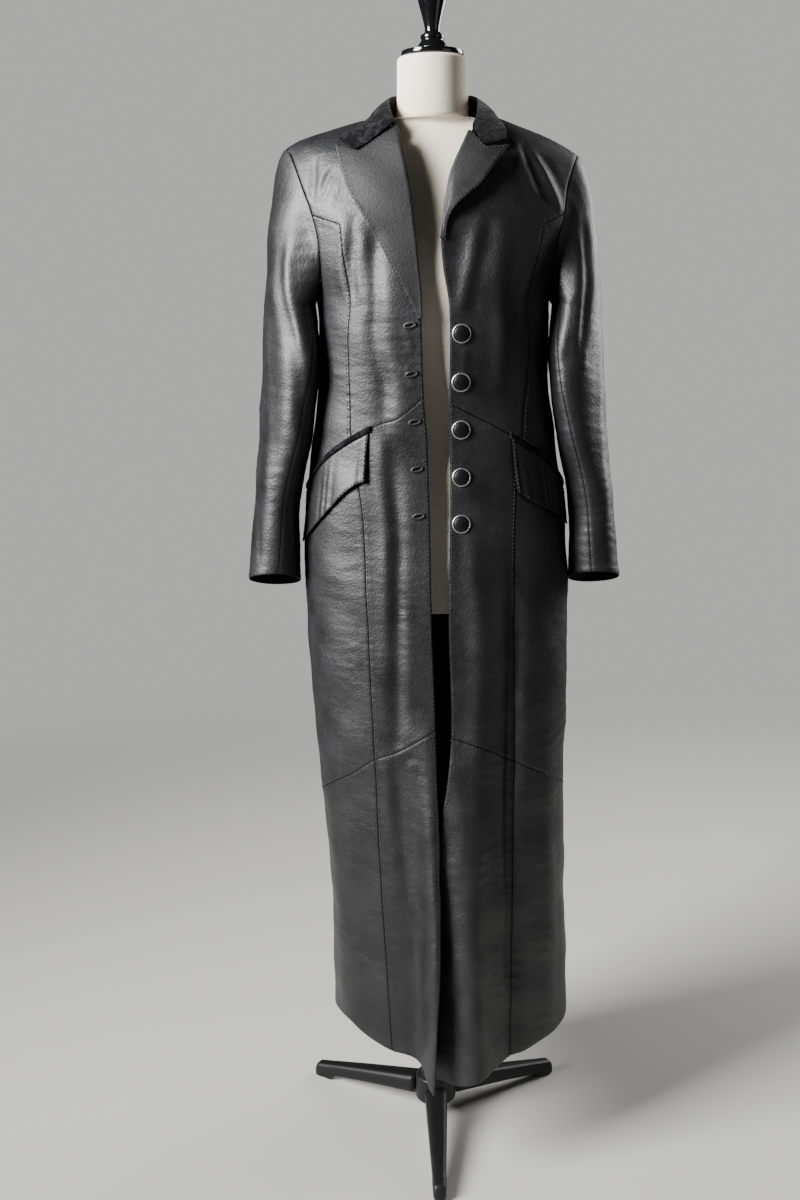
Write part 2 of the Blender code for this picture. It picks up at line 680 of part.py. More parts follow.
def build_backs(side):
    """Three tiers of a back half."""
    middle = [side_column(rows, side, CENTRE_BACK) for rows in (WAIST_SEAM, KNEE_SEAM, HEM)]
    outer = [side_column(rows, side, SIDE_SEAM) for rows in (WAIST_SEAM, KNEE_SEAM, HEM)]
    neck_point = Vector((CENTRE_BACK - NECK_POINT, 0.0))
    back_neck = at_height(side, CENTRE_BACK, BACK_NECK_HEIGHT)
    tip = Vector((CENTRE_BACK - SHOULDER_TIP, 0.0))
    shape = patch(
        joined_seam((SIDE_ROWS, fixed_seam(side, SIDE_SEAM, outer[0], ARMPIT_HEIGHT)),
                    (ARMHOLE_ROWS, armhole_seam(side, 0.0, YOKE_SHARE, back=True)),
                    (ARMHOLE_ROWS, armhole_seam(side, YOKE_SHARE, 1.0, back=True))),
        fixed_seam(side, CENTRE_BACK, middle[0], BACK_NECK_HEIGHT),
        level_seam(WAIST_SEAM, side, SIDE_SEAM, CENTRE_BACK),
        joined_seam((SHOULDER_COLUMNS, straight_seam(tip, neck_point)),
                    (BACK_NECK_COLUMNS, straight_seam(neck_point, back_neck))))
    body_panel("back_chest", side, shape, SHOULDER_GAP)
    for tier, step, top, low in (("skirt", 0, WAIST_SEAM, KNEE_SEAM), ("hem", 1, KNEE_SEAM, HEM)):
        shape = patch(
            fixed_seam(side, SIDE_SEAM, outer[step + 1], outer[step]),
            fixed_seam(side, CENTRE_BACK, middle[step + 1], middle[step]),
            level_seam(low, side, SIDE_SEAM, CENTRE_BACK),
            level_seam(top, side, SIDE_SEAM, CENTRE_BACK))
        body_panel(f"back_{tier}", side, shape)


# Sleeves
def sleeve_ring(side, turn, height):
    """Point of the sleeve's tube: turn 0 faces outwards, 90 the front, 180 the body."""
    outer, inner = column(SLEEVE, "outer", height), column(SLEEVE, "inner", height)
    front, back = column(SLEEVE, "front", height), column(SLEEVE, "back", height)
    cosine, sine = math.cos(math.radians(turn)), math.sin(math.radians(turn))
    x = (outer + inner) / 2 + (outer - inner) / 2 * cosine
    y = (front + back) / 2 + (front - back) / 2 * sine
    y += column(SLEEVE, "swing", height) * (1.0 - cosine) / 2
    low = smooth((BICEP_HEIGHT - height) / (BICEP_HEIGHT - CUFF_HEIGHT))
    return Vector((side * x, y, height + CUFF_TILT * sine * low))


def armhole_place(side, turn):
    """Angle and drop of the armhole at a turn of the sleeve."""
    turn %= 360.0
    share = 1.0 - turn / 180.0 if turn <= 180.0 else turn / 180.0 - 1.0
    yoke_turn = 0.5
    if share <= yoke_turn:
        share = share / yoke_turn * YOKE_SHARE
    else:
        share = YOKE_SHARE + (share - yoke_turn) / (1.0 - yoke_turn) * (1.0 - YOKE_SHARE)
    return armhole_seam(side, 0.0, 1.0, back=turn > 180.0)(share)


CAP_LEAVE = 0.085         # how far the cap keeps the shoulder's direction
CAP_ARRIVE = 0.20         # how far it hangs straight into the sleeve
UNDERARM_LEAVE = 0.05
UNDERARM_ARRIVE = 0.03
UNDERARM_LEAN = 0.35      # outwards for each metre down
UNDERARM_FROM = 0.20      # cosine of the turn where the cap starts to give way to the underarm
UNDERARM_SPAN = 0.90
TURN_STEP = 4.0
SLEEVE_START = 0.003      # share of the sleeve's length left open at the armhole seam


def sleeve_point(side, turn, share):
    """Point of the sleeve: share 0 is the armhole, 1 the cuff."""
    if share >= CAP_SHARE:
        height = blend(BICEP_HEIGHT, CUFF_HEIGHT, (share - CAP_SHARE) / (1.0 - CAP_SHARE))
        return sleeve_ring(side, turn, height)
    angle, drop = armhole_place(side, turn)
    start = body_point(side, angle, drop)
    ahead, behind = armhole_place(side, turn + TURN_STEP), armhole_place(side, turn - TURN_STEP)
    seam = body_point(side, *ahead) - body_point(side, *behind)
    leave = body_normal(side, angle, drop).cross(seam).normalized()
    if leave.x * side < 0:
        leave = -leave
    under = smooth((UNDERARM_FROM - math.cos(math.radians(turn))) / UNDERARM_SPAN)
    downwards = Vector((side * UNDERARM_LEAN, 0.0, -1.0)).normalized()
    leave = blend(leave * CAP_LEAVE, downwards * UNDERARM_LEAVE, under)
    end = sleeve_ring(side, turn, BICEP_HEIGHT)
    arrive = (sleeve_ring(side, turn, BICEP_HEIGHT - 0.01) - end).normalized()
    t = share / CAP_SHARE
    reach = blend(CAP_ARRIVE, UNDERARM_ARRIVE, under)
    first = start * ((1 + 2 * t) * (1 - t) ** 2) + leave * (t * (1 - t) ** 2)
    return first + end * (t * t * (3 - 2 * t)) - arrive * (reach * t * t * (1 - t))


def sleeve_place(side, turn, share, lift=0.0):
    """Point of the folded sleeve at a height above its surface."""
    def folded(at_turn, at_share):
        point = sleeve_point(side, at_turn, at_share)
        rise = fold_rise(SLEEVE_FOLDS, side, at_share, at_turn % 360.0)
        radians = math.radians(at_turn)
        return point + Vector((side * math.cos(radians), -math.sin(radians), 0.0)) * rise

    step = 0.004
    near = min(max(share, step), 1.0 - step)
    round_sleeve = folded(turn + TURN_STEP / 2, near) - folded(turn - TURN_STEP / 2, near)
    down_sleeve = folded(turn, near + step) - folded(turn, near - step)
    normal = (round_sleeve.cross(down_sleeve) * side).normalized()
    return folded(turn, share) + normal * lift


def build_sleeve(side):
    """Top sleeve and under sleeve of an arm."""
    def piece(kind, start, end):
        gap = SEAM / 2.0 / PANELS[kind].width

        def place(across, up, depth):
            share = blend(SLEEVE_START, 1.0, 1.0 - up)
            turn = blend(start(share), end(share), inset(across, gap))
            return sleeve_place(side, turn, share, -depth)
        wall(kind, side, place, "black_nappa")

    def front_seam(share):
        return column(SLEEVE_SEAMS, "front", share)

    def back_seam(share):
        return column(SLEEVE_SEAMS, "back", share)

    piece("under_sleeve", front_seam, back_seam)
    piece("top_sleeve", back_seam, lambda share: front_seam(share) + 360.0)


# Lapels and collar
ROLL_SHARE = 0.25         # share of the lapel's columns in its rolled edge
LAPEL_LIFT = 0.0032       # outer face of the lapel's edge above the chest
ROLL_RADIUS = (0.0024, 0.0042)  # at the break and at the collar
ROLL_FULL_SHARE = 0.625   # share of the lapel's length over which the roll grows
LAPEL_GORGE_COLUMNS = 4
LAPEL_NOTCH_COLUMNS = 2


def build_lapel(side):
    """Lapel that rolls out over the chest, from the front edge."""
    edge = LAPEL_EDGE[side]
    notch = LAPEL_NOTCH[side]
    edge_places = [at_height(side, *row) for row in edge]
    gorge = GORGE_HEIGHT[side]
    shape = patch(
        upright_seam(OPENING_EDGE, side, edge[0].height, gorge),
        lambda share: spline(edge_places, share),
        straight_seam(at_height(side, side_column(OPENING_EDGE, side, edge[0].height), edge[0].height),
                      edge_places[0]),
        joined_seam((LAPEL_GORGE_COLUMNS, straight_seam(
            at_height(side, side_column(OPENING_EDGE, side, gorge), gorge),
            at_height(side, *notch))),
            (LAPEL_NOTCH_COLUMNS, straight_seam(at_height(side, *notch), edge_places[-1]))))

    def place(across, up, depth):
        radius = blend(ROLL_RADIUS[0], ROLL_RADIUS[1], smooth(up / ROLL_FULL_SHARE))
        if across >= ROLL_SHARE:
            flat = (across - ROLL_SHARE) / (1.0 - ROLL_SHARE)
            angle, drop = shape(flat, up)
            return body_place(side, angle, drop, blend(2 * radius, LAPEL_LIFT, smooth(flat)) - depth)
        angle, drop = shape(0.0, up)
        bend = math.pi * across / ROLL_SHARE
        metres = (body_point(side, angle + 1.0, drop) - body_point(side, angle, drop)).length
        inwards = ((radius - depth) * math.sin(bend) + SEAM) / metres
        lift = radius - (radius - depth) * math.cos(bend) + SEAM * math.cos(bend / 2)
        return body_place(side, angle - inwards, drop, lift)
    wall("lapel", side, place, "black_nappa")


COLLAR_CLOTH = 0.0022
NECK_SIDE_SHARE = 0.45    # of the way from the lapel to the shoulder
NECK_SIDE_HEIGHT = 1.613
NECK_SIDE_LIFT = 0.0025
COLLAR_LIFTS = (0.0012, 0.0082, 0.0056, 0.0052)  # seam, roll, middle and edge over the chest


def collar_station(row, side):
    """Four guide points of the collar at one turn round the neck."""
    turn = math.radians(row.turn)
    direction = Vector((side * math.sin(turn), math.cos(turn), 0.0))
    guides = ((row.seam_r, row.seam_z), (row.roll_r, row.roll_z),
              (row.middle_r, row.middle_z), (row.edge_r, row.edge_z))
    return [direction * radius + Vector((0.0, 0.0, height)) for radius, height in guides]


def collar_end(side):
    """Four guide points where the collar meets the lapel."""
    clear = 0.0045
    gorge = GORGE_HEIGHT[side] + clear
    notch = LAPEL_NOTCH[side]
    start = (side_column(OPENING_EDGE, side, gorge), gorge)
    places = (start, start, (notch.angle, notch.height + clear), COLLAR_TIP[side])
    return [body_place(side, *at_height(side, *place), lift)
            for place, lift in zip(places, COLLAR_LIFTS)]


def collar_side(side):
    """Four guide points between the lapel and the shoulder, over the edge of the neck."""
    ahead, behind = collar_end(side), collar_station(COLLAR[-1], side)
    guides = [blend(a, b, NECK_SIDE_SHARE) for a, b in zip(ahead, behind)]
    edge = at_height(side, side_column(OPENING_EDGE, side, NECK_SIDE_HEIGHT), NECK_SIDE_HEIGHT)
    shift = body_place(side, *edge, NECK_SIDE_LIFT) - guides[0]
    return [guide + shift for guide in guides]


def build_collar():
    """Collar from one notch round the neck to the other: stand, roll and fall."""
    stations = [collar_end(RIGHT), collar_side(RIGHT)]
    stations += [collar_station(row, RIGHT) for row in reversed(COLLAR[1:])]
    stations += [collar_station(row, LEFT) for row in COLLAR]
    stations += [collar_side(LEFT), collar_end(LEFT)]

    def surface(across, up):
        guides = [spline([station[k] for station in stations], across) for k in range(4)]
        return spline(guides, up)

    def place(across, up, depth):
        step = 0.01
        near = min(max(across, step), 1.0 - step), min(max(up, step), 1.0 - step)
        round_neck = surface(near[0] + step, near[1]) - surface(near[0] - step, near[1])
        over = surface(near[0], near[1] + step) - surface(near[0], near[1] - step)
        normal = round_neck.cross(over).normalized()
        return surface(across, up) - normal * depth
    wall("collar", BOTH, place, "black_velvet", COLLAR_CLOTH)


# Pockets, buttons and buttonholes
FLAP_LIFTS = (0.0030, 0.0080, 0.0040)  # outer face at the welt, the front corner and the side
WELT_LIFT = 0.0036
WELT_CROWN = 0.001
WELT_CLEAR = 0.0006       # over the flat facets of the panels
WELT_OVERHANG = 0.9       # degrees past each end of the flap


def build_pocket(side):
    """Flap under a velvet welt, in the waist seam."""
    start, end = FLAP_ENDS[side]
    half = WELT_WIDTH / 2.0

    def waist(angle):
        return side_column(WAIST_SEAM, side, angle)

    def welt(across, up, depth):
        angle = blend(start - WELT_OVERHANG, end + WELT_OVERHANG, across)
        height = waist(angle) + blend(-half, half, up)
        lift = WELT_LIFT + WELT_CROWN * (1.0 - (2.0 * up - 1.0) ** 2)
        return body_place(side, *at_height(side, angle, height), lift - depth)

    def flap(across, up, depth):
        angle = blend(start, end, across)
        top = waist(angle) - half - SEAM
        low = side_column(FLAP_BOTTOM, side, angle)
        free_edge = blend(FLAP_LIFTS[1], FLAP_LIFTS[2], across)
        lift = blend(free_edge, FLAP_LIFTS[0], up)
        return body_place(side, *at_height(side, angle, blend(low, top, up)), lift - depth)
    wall("pocket_welt", side, welt, "black_velvet", WELT_LIFT - WELT_CLEAR)
    wall("pocket_flap", side, flap, "black_nappa")


def edge_place(side, height, distance):
    """Angle and drop at a distance in from the front edge."""
    angle = side_column(OPENING_EDGE, side, height)
    drop = drop_at(angle, height, side)
    metres = (body_point(side, angle + 1.0, drop) - body_point(side, angle, drop)).length
    return at_height(side, angle + distance / metres, height)


BUTTON_LIFT = 0.0006
BUTTON_DOME = (
    Turning(0.0000, 0.0062),
    Turning(0.0045, 0.0058),
    Turning(0.0080, 0.0046),
    Turning(0.0103, 0.0026),
    Turning(0.0106, 0.0000),
    Turning(0.0000, 0.0000),
)
RIM_THICKNESS = 0.0014
HOLE_LENGTH = 0.020
HOLE_WIDTH = 0.0076
HOLE_SLIT = 0.0012
HOLE_LIFT = 0.0018
HOLE_CLEAR = 0.0007       # over the flat facets of the front


def rim_point(around, profile):
    """Point of a button's metal rim, a ring of round wire."""
    turn, bend = math.tau * around, math.tau * profile
    radius = BUTTON_RADIUS - RIM_THICKNESS + RIM_THICKNESS * math.cos(bend)
    height = RIM_THICKNESS * (1.0 + math.sin(bend))
    return Vector((radius * math.cos(turn), radius * math.sin(turn), height))


def build_buttons():
    """Covered domes in metal rims on the left front, and bound holes on the right front."""
    for number in range(BUTTON_COUNT):
        angle, drop = edge_place(LEFT, TOP_BUTTON_HEIGHT - number * BUTTON_PITCH, BUTTON_INSET)
        dome = turned(f"button_{number + 1}", BUTTON_DOME, 16, "black_nappa")
        rim = closed_ring(f"button_rim_{number + 1}", rim_point, 16, 5, "button_rim_steel")
        for piece in (dome, rim):
            piece.location = body_place(LEFT, angle, drop, BUTTON_LIFT)
            piece.rotation_mode = "QUATERNION"
            piece.rotation_quaternion = body_normal(LEFT, angle, drop).to_track_quat("Z", "Y")
        build_buttonhole(number)


def closed_ring(name, place, around, profile, finish):
    """Ring that is closed both ways: place gives a point from its shares round and in profile."""
    bm = bmesh.new()
    bmesh.ops.create_grid(bm, x_segments=around, y_segments=profile, size=0.5)
    for vert in bm.verts:
        vert.co = place((vert.co.x + 0.5) % 1.0, (vert.co.y + 0.5) % 1.0)
    bmesh.ops.remove_doubles(bm, verts=bm.verts, dist=1e-6)
    return finish_mesh(name, bm, finish)


def build_buttonhole(number):
    """Bound buttonhole: a raised lip round a slit, laid on the right front."""
    height = TOP_BUTTONHOLE_HEIGHT - number * BUTTON_PITCH
    angle, drop = edge_place(RIGHT, height, BUTTON_INSET)
    metres = (body_point(RIGHT, angle + 1.0, drop) - body_point(RIGHT, angle, drop)).length
    straight = (HOLE_LENGTH - HOLE_WIDTH) / 2.0

    def place(around, profile):
        turn, bend = math.tau * around, math.tau * profile
        lip = (HOLE_WIDTH - HOLE_SLIT) / 4.0
        radius = HOLE_SLIT / 2.0 + lip + lip * math.cos(bend)
        along = math.copysign(straight, math.cos(turn)) + radius * math.cos(turn)
        across = radius * math.sin(turn)
        lift = HOLE_CLEAR + HOLE_LIFT / 2.0 * (1.0 + math.sin(bend))
        where = at_height(RIGHT, angle + along / metres, height + across)
        return body_place(RIGHT, *where, lift)
    closed_ring(f"buttonhole_{number + 1}", place, 12, 5, "black_nappa")


# Dress form and stand
def build_form():
    """Torso, neck block, turned cap, pole and tripod."""
    def torso(around, along):
        row = FORM[round((1.0 - along) * (len(FORM) - 1))]
        power = 2.0 / row.squareness
        sine, cosine = math.sin(math.tau * around), math.cos(math.tau * around)
        depth = row.front if cosine > 0 else row.back
        return Vector((row.half_width * math.copysign(abs(sine) ** power, sine),
                       -depth * math.copysign(abs(cosine) ** power, cosine), row.height))
    loft("form_torso", torso, 32, len(FORM) - 1, "cream_linen")
    neck = (
        Turning(0.0, NECK_TOP),
        Turning(NECK_RADIUS - 0.0060, NECK_TOP),
        Turning(NECK_RADIUS - 0.0015, NECK_TOP - 0.0020),
        Turning(NECK_RADIUS, NECK_TOP - 0.0065),
        Turning(NECK_RADIUS, NECK_BASE + 0.030),
        Turning(NECK_RADIUS + 0.0012, NECK_BASE + SEAM),
        Turning(0.0, NECK_BASE + SEAM),
    )
    turned("form_neck", neck, 24, "cream_linen")
    turned("neck_cap", CAP_PROFILE, 18, "black_lacquer", NECK_TOP + SEAM)
    hub_top = HUB_PROFILE[0].height
    bm = bmesh.new()
    length = FORM_BOTTOM - hub_top - 2 * SEAM
    bmesh.ops.create_cone(bm, cap_ends=True, segments=20, radius1=POLE_RADIUS, radius2=POLE_RADIUS,
                          depth=length, matrix=Matrix.Translation((0, 0, hub_top + SEAM + length / 2)))
    finish_mesh("stand_pole", bm, "pole_enamel")
    turned("stand_hub", HUB_PROFILE, 24, "black_iron")
    for number in range(LEG_COUNT):
        build_leg(number)


def build_leg(number):
    """Cast leg, tapered towards a flat foot. The first leg points to the front."""
    turn = Matrix.Rotation(math.tau * number / LEG_COUNT, 4, "Z")

    def place(around, along):
        row = LEG[round(along * (len(LEG) - 1))]
        corner = round(around * 4) % 4
        x = row.half_width * (1 if corner in (0, 3) else -1)
        z = row.high if corner in (0, 1) else row.low
        return turn @ Vector((x, -row.reach, z))
    leg = loft(f"stand_leg_{number + 1}", place, 4, len(LEG) - 1, "black_iron")
    bevel = leg.modifiers.new("soft edges", "BEVEL")
    bevel.width = 0.0025
    bevel.segments = 1
    bevel.limit_method = "ANGLE"


for old in list(bpy.data.objects):
    bpy.data.objects.remove(old)
parts = bpy.data.collections.new("leather_coat_on_dress_form")
bpy.context.scene.collection.children.link(parts)
stand_axis = bpy.data.objects.new("stand_axis", None)
stand_axis.location = STAND_SHIFT
parts.objects.link(stand_axis)

build_form()
for wearer_side in (RIGHT, LEFT):
    build_fronts(wearer_side)
    build_backs(wearer_side)
    build_sleeve(wearer_side)
    build_lapel(wearer_side)
    build_pocket(wearer_side)
build_collar()
build_buttons()
bpy.context.view_layer.update()
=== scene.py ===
"""Looks of a full-length leather coat on a limbless dress form with a tripod stand.

Units are metres, +Z is up and the coat opens towards -Y. Right and left are the wearer's: the right
side is at -X. A place on the coat's body is given by an angle round the body, from the centre front (0)
past the side (90) to the centre back (180), and by a height above the floor, or by a drop: the square
root of how far the place lies below the shoulder line. A place on a sleeve is given by a turn (0 faces
outwards, 90 the front, 180 the body) and by a share of its length from the armhole (0) to the cuff (1).
"""
import logging
import math
from collections.abc import Callable
from dataclasses import dataclass, field
from enum import Enum
from functools import partial
from typing import Any, NamedTuple

import bpy
import numpy as np
from bpy.types import Material, Node, NodeSocket, NodeTree, Object
from mathutils import Matrix, Vector


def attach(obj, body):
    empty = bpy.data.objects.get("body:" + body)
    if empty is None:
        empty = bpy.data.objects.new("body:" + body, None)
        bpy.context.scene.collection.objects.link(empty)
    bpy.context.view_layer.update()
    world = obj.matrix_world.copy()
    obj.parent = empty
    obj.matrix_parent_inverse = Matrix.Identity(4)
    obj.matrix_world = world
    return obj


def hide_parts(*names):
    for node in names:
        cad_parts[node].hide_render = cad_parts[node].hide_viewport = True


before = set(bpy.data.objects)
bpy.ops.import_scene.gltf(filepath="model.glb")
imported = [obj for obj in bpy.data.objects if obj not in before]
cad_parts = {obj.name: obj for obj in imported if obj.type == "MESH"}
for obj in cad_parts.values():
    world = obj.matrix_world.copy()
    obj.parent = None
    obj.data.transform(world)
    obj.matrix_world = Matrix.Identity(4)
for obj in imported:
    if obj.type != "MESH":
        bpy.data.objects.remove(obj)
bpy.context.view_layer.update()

BODY_NAME = "root"
MM = 0.001
STAND_SHIFT = np.array((0.0, 0.04, 0.0))  # stand axis from the middle of the footprint

Array = np.ndarray
Seam = Callable[[Array], Array]  # places from shares along it
Surface = Callable[[Array, Array], Array]  # points or places from two measures
log = logging.getLogger("coat")


class Side(Enum):
    """Side of the wearer; its value is the sign of x there."""
    RIGHT = -1
    LEFT = 1

    @property
    def word(self) -> str:
        """Word for the side in a node's name."""
        return self.name.lower()


class Edge(Enum):
    """Edge of a panel: its first and last column, and its lowest and highest row."""
    START = 0
    END = 1
    LOW = 2
    HIGH = 3


# Tables have named columns
class Section(NamedTuple):
    """Level section of the coat's body."""
    height: float
    half_width: float
    front: float
    back: float
    shift: float


class Level(NamedTuple):
    """Heights of a level seam at an angle."""
    angle: float
    right: float
    left: float


class Upright(NamedTuple):
    """Angles of an upright seam at a height."""
    height: float
    right: float
    left: float


class Fold(NamedTuple):
    """Long soft fold along a slanted line; side is None on both sides."""
    side: Side | None
    top_angle: float
    top: float
    low_angle: float
    low: float
    spread: float
    rise: float


class Crease(NamedTuple):
    """Ridge (positive rise) or trough along a path; width is half its breadth, both in millimetres."""
    width: float
    rise: float
    path: tuple[tuple[float, float], ...]


class Ring(NamedTuple):
    """Level ring of a sleeve."""
    height: float
    outer: float
    inner: float
    front: float
    back: float
    swing: float


class SleeveSeam(NamedTuple):
    """Turns of the two seams of a sleeve at a share of its length."""
    share: float
    front: float
    back: float


class Spot(NamedTuple):
    """Place on the coat's body."""
    angle: float
    height: float


class CollarRow(NamedTuple):
    """Radius and height of the collar's guides at a turn round the neck."""
    turn: float
    seam_r: float
    seam_z: float
    roll_r: float
    roll_z: float
    middle_r: float
    middle_z: float
    edge_r: float
    edge_z: float


class FormSection(NamedTuple):
    """Level section of the dress form."""
    height: float
    half_width: float
    front: float
    back: float
    squareness: float


class Turning(NamedTuple):
    """Point of a turned profile."""
    radius: float
    height: float


class LegSection(NamedTuple):
    """Cross section of a tripod leg at a reach from the axis."""
    reach: float
    half_width: float
    low: float
    high: float


class PanelLight(NamedTuple):
    """Soft light: where its panel stands and what it faces, its size, its watts and its fan in degrees."""
    name: str
    place: tuple[float, float, float]
    aim: tuple[float, float, float]
    size: tuple[float, float]
    power: float
    spread: float


def table(kind: type, *rows: tuple) -> tuple:
    """Named rows of one kind from plain rows of values."""
    return tuple(kind(*row) for row in rows)


def crease_table(*rows: tuple) -> tuple[Crease, ...]:
    """Creases from rows of a width, a rise and the points of a path."""
    return tuple(Crease(width, rise, tuple(path)) for width, rise, *path in rows)


def smooth(share: Array) -> Array:
    """Ease from 0 to 1."""
    share = np.clip(share, 0.0, 1.0)
    return share * share * (3.0 - 2.0 * share)


def blend(start: Any, end: Any, share: Any) -> Any:
    """Value between two numbers or arrays."""
    return start + (end - start) * share


def unit(vectors: Array) -> Array:
    """Vectors of length 1."""
    return vectors / np.maximum(np.linalg.norm(vectors, axis=-1, keepdims=True), 1e-12)


class Curve:
    """Smooth curve through points, level beyond its ends."""

    def __init__(self, points: list[tuple[float, float]]) -> None:
        """Sort the points and find their slopes.

        Args:
            points: Pairs of a place and the value there.
        """
        table = np.array(sorted(points), dtype=float)
        self.x, self.y = table[:, 0], table[:, 1]
        index = np.arange(len(table))
        low, high = np.maximum(index - 1, 0), np.minimum(index + 1, len(table) - 1)
        self.slope = (self.y[high] - self.y[low]) / (self.x[high] - self.x[low])

    def __call__(self, at: Any) -> Array:
        """Values at places.

        Args:
            at: One place or an array of them.

        Returns:
            The values, in the same shape.
        """
        at = np.clip(at, self.x[0], self.x[-1])
        first = np.clip(np.searchsorted(self.x, at, side="right") - 1, 0, len(self.x) - 2)
        step = self.x[first + 1] - self.x[first]
        t = (at - self.x[first]) / step
        start = self.y[first] * (1 + 2 * t) * (1 - t) ** 2 + self.slope[first] * step * t * (1 - t) ** 2
        return (start + self.y[first + 1] * t * t * (3 - 2 * t)
                - self.slope[first + 1] * step * t * t * (1 - t))


def column(rows: tuple, name: str) -> Curve:
    """Curve through one column of a table, read at values of its first column."""
    return Curve([(row[0], getattr(row, name)) for row in rows])


def spline(points: Array, share: Array) -> Array:
    """Smooth curve through evenly weighted points.

    Args:
        points: Array of points, the first axis running along the curve.
        share: Shares of the curve's length.

    Returns:
        A point for each share.
    """
    points = np.asarray(points, dtype=float)
    place = np.clip(np.asarray(share, dtype=float), 0.0, 1.0) * (len(points) - 1)
    first = np.minimum(place.astype(int), len(points) - 2)
    t = (place - first).reshape(place.shape + (1,) * (points.ndim - 1))
    p1, p2 = points[first], points[first + 1]
    before = points[np.maximum(first - 1, 0)]
    after = points[np.minimum(first + 2, len(points) - 1)]
    start = p1 * ((1 + 2 * t) * (1 - t) ** 2) + (p2 - before) / 2 * (t * (1 - t) ** 2)
    return start + p2 * (t * t * (3 - 2 * t)) - (after - p1) / 2 * (t * t * (1 - t))


def straight(start: Array, end: Array) -> Seam:
    """Straight line between two places."""
    return lambda share: blend(np.asarray(start), np.asarray(end), np.asarray(share)[..., None])


def joined(*legs: tuple[int, Seam]) -> Seam:
    """Seam of several legs, each with its number of rows.

    Args:
        legs: Pairs of a number of rows and a seam.

    Returns:
        One seam over all of them.
    """
    ends = np.cumsum([0] + [count for count, _ in legs])

    def place(share: Array) -> Array:
        """Places at shares of the whole seam.

        Args:
            share: Shares.

        Returns:
            The places.
        """
        rows = np.asarray(share) * ends[-1]
        result = legs[-1][1](np.clip((rows - ends[-2]) / legs[-1][0], 0.0, 1.0))
        for k in reversed(range(len(legs) - 1)):
            here = rows <= ends[k + 1] + 1e-6
            leg = legs[k][1](np.clip((rows - ends[k]) / legs[k][0], 0.0, 1.0))
            result = np.where(here[..., None], leg, result)
        return result
    return place


def patch(left: Seam, right: Seam, bottom: Seam, top: Seam) -> Surface:
    """Grid of places inside four seams.

    Args:
        left: Seam at share 0 across, and so on round the panel.
        right: Seam at share 1 across.
        bottom: Seam at share 0 up.
        top: Seam at share 1 up.

    Returns:
        A function of the shares across and up that gives rows of places.
    """
    ends = np.array((0.0, 1.0))
    (low_left, high_left), (low_right, high_right) = left(ends), right(ends)

    def place(across: Array, up: Array) -> Array:
        """Rows of places at shares across and up.

        Args:
            across: Shares across.
            up: Shares up.

        Returns:
            The places.
        """
        a, u = across[None, :, None], up[:, None, None]
        sides = blend(left(up)[:, None, :], right(up)[:, None, :], a)
        levels = blend(bottom(across)[None], top(across)[None], u)
        flat = blend(blend(low_left, low_right, a), blend(high_left, high_right, a), u)
        return sides + levels - flat
    return place


# Relief of cloth: listed creases and the soft unevenness of a hide
class Creases:
    """Listed creases of one surface, each a soft ridge or trough along its path."""
    STEP = 0.0015  # between the points that a crease is measured from
    SAMPLES = 60  # points that give a crease's length
    FEWEST = 12  # points on the shortest crease
    FADE = 0.22  # share of a crease's length over which each end dies away
    RISE = 0.6  # share of its stated rise that soft leather keeps
    SPREAD = 1.15  # breadth there, for each part of its stated breadth
    REACH = 3.0  # breadths at which it has died away
    BATCH = 4000  # points measured at a time

    def __init__(self, creases: tuple[Crease, ...], surface: Surface) -> None:
        """Lay the creases on a surface.

        Args:
            creases: Creases with their paths in the surface's own two measures.
            surface: Gives the points of the bare surface from those measures.
        """
        self.lines = []
        for crease in creases:
            rough = surface(*spline(np.array(crease.path), np.linspace(0.0, 1.0, self.SAMPLES)).T)
            length = np.linalg.norm(np.diff(rough, axis=0), axis=1).sum()
            share = np.linspace(0.0, 1.0, max(int(length / self.STEP), self.FEWEST))
            fade = smooth(share / self.FADE) * smooth((1.0 - share) / self.FADE)
            self.lines.append((surface(*spline(np.array(crease.path), share).T),
                               fade * crease.rise * self.RISE * MM, crease.width * self.SPREAD * MM))

    def __call__(self, points: Array) -> Array:
        """Rise of all creases together.

        Args:
            points: Points of the bare surface.

        Returns:
            Rise at each point, in metres.
        """
        flat = points.reshape(-1, 3)
        total = np.zeros(len(flat))
        for line, rise, width in self.lines:
            reach = self.REACH * width
            inside = np.all((flat > line.min(axis=0) - reach) & (flat < line.max(axis=0) + reach), axis=1)
            near = np.flatnonzero(inside)
            for some in np.array_split(near, max(len(near) // self.BATCH, 1)):
                if not len(some):
                    continue
                gaps = ((flat[some, None, :] - line[None]) ** 2).sum(axis=2)
                nearest = gaps.argmin(axis=1)
                square = gaps[np.arange(len(some)), nearest]
                total[some] += rise[nearest] * np.exp(-square / width ** 2)
        return total.reshape(points.shape[:-1])


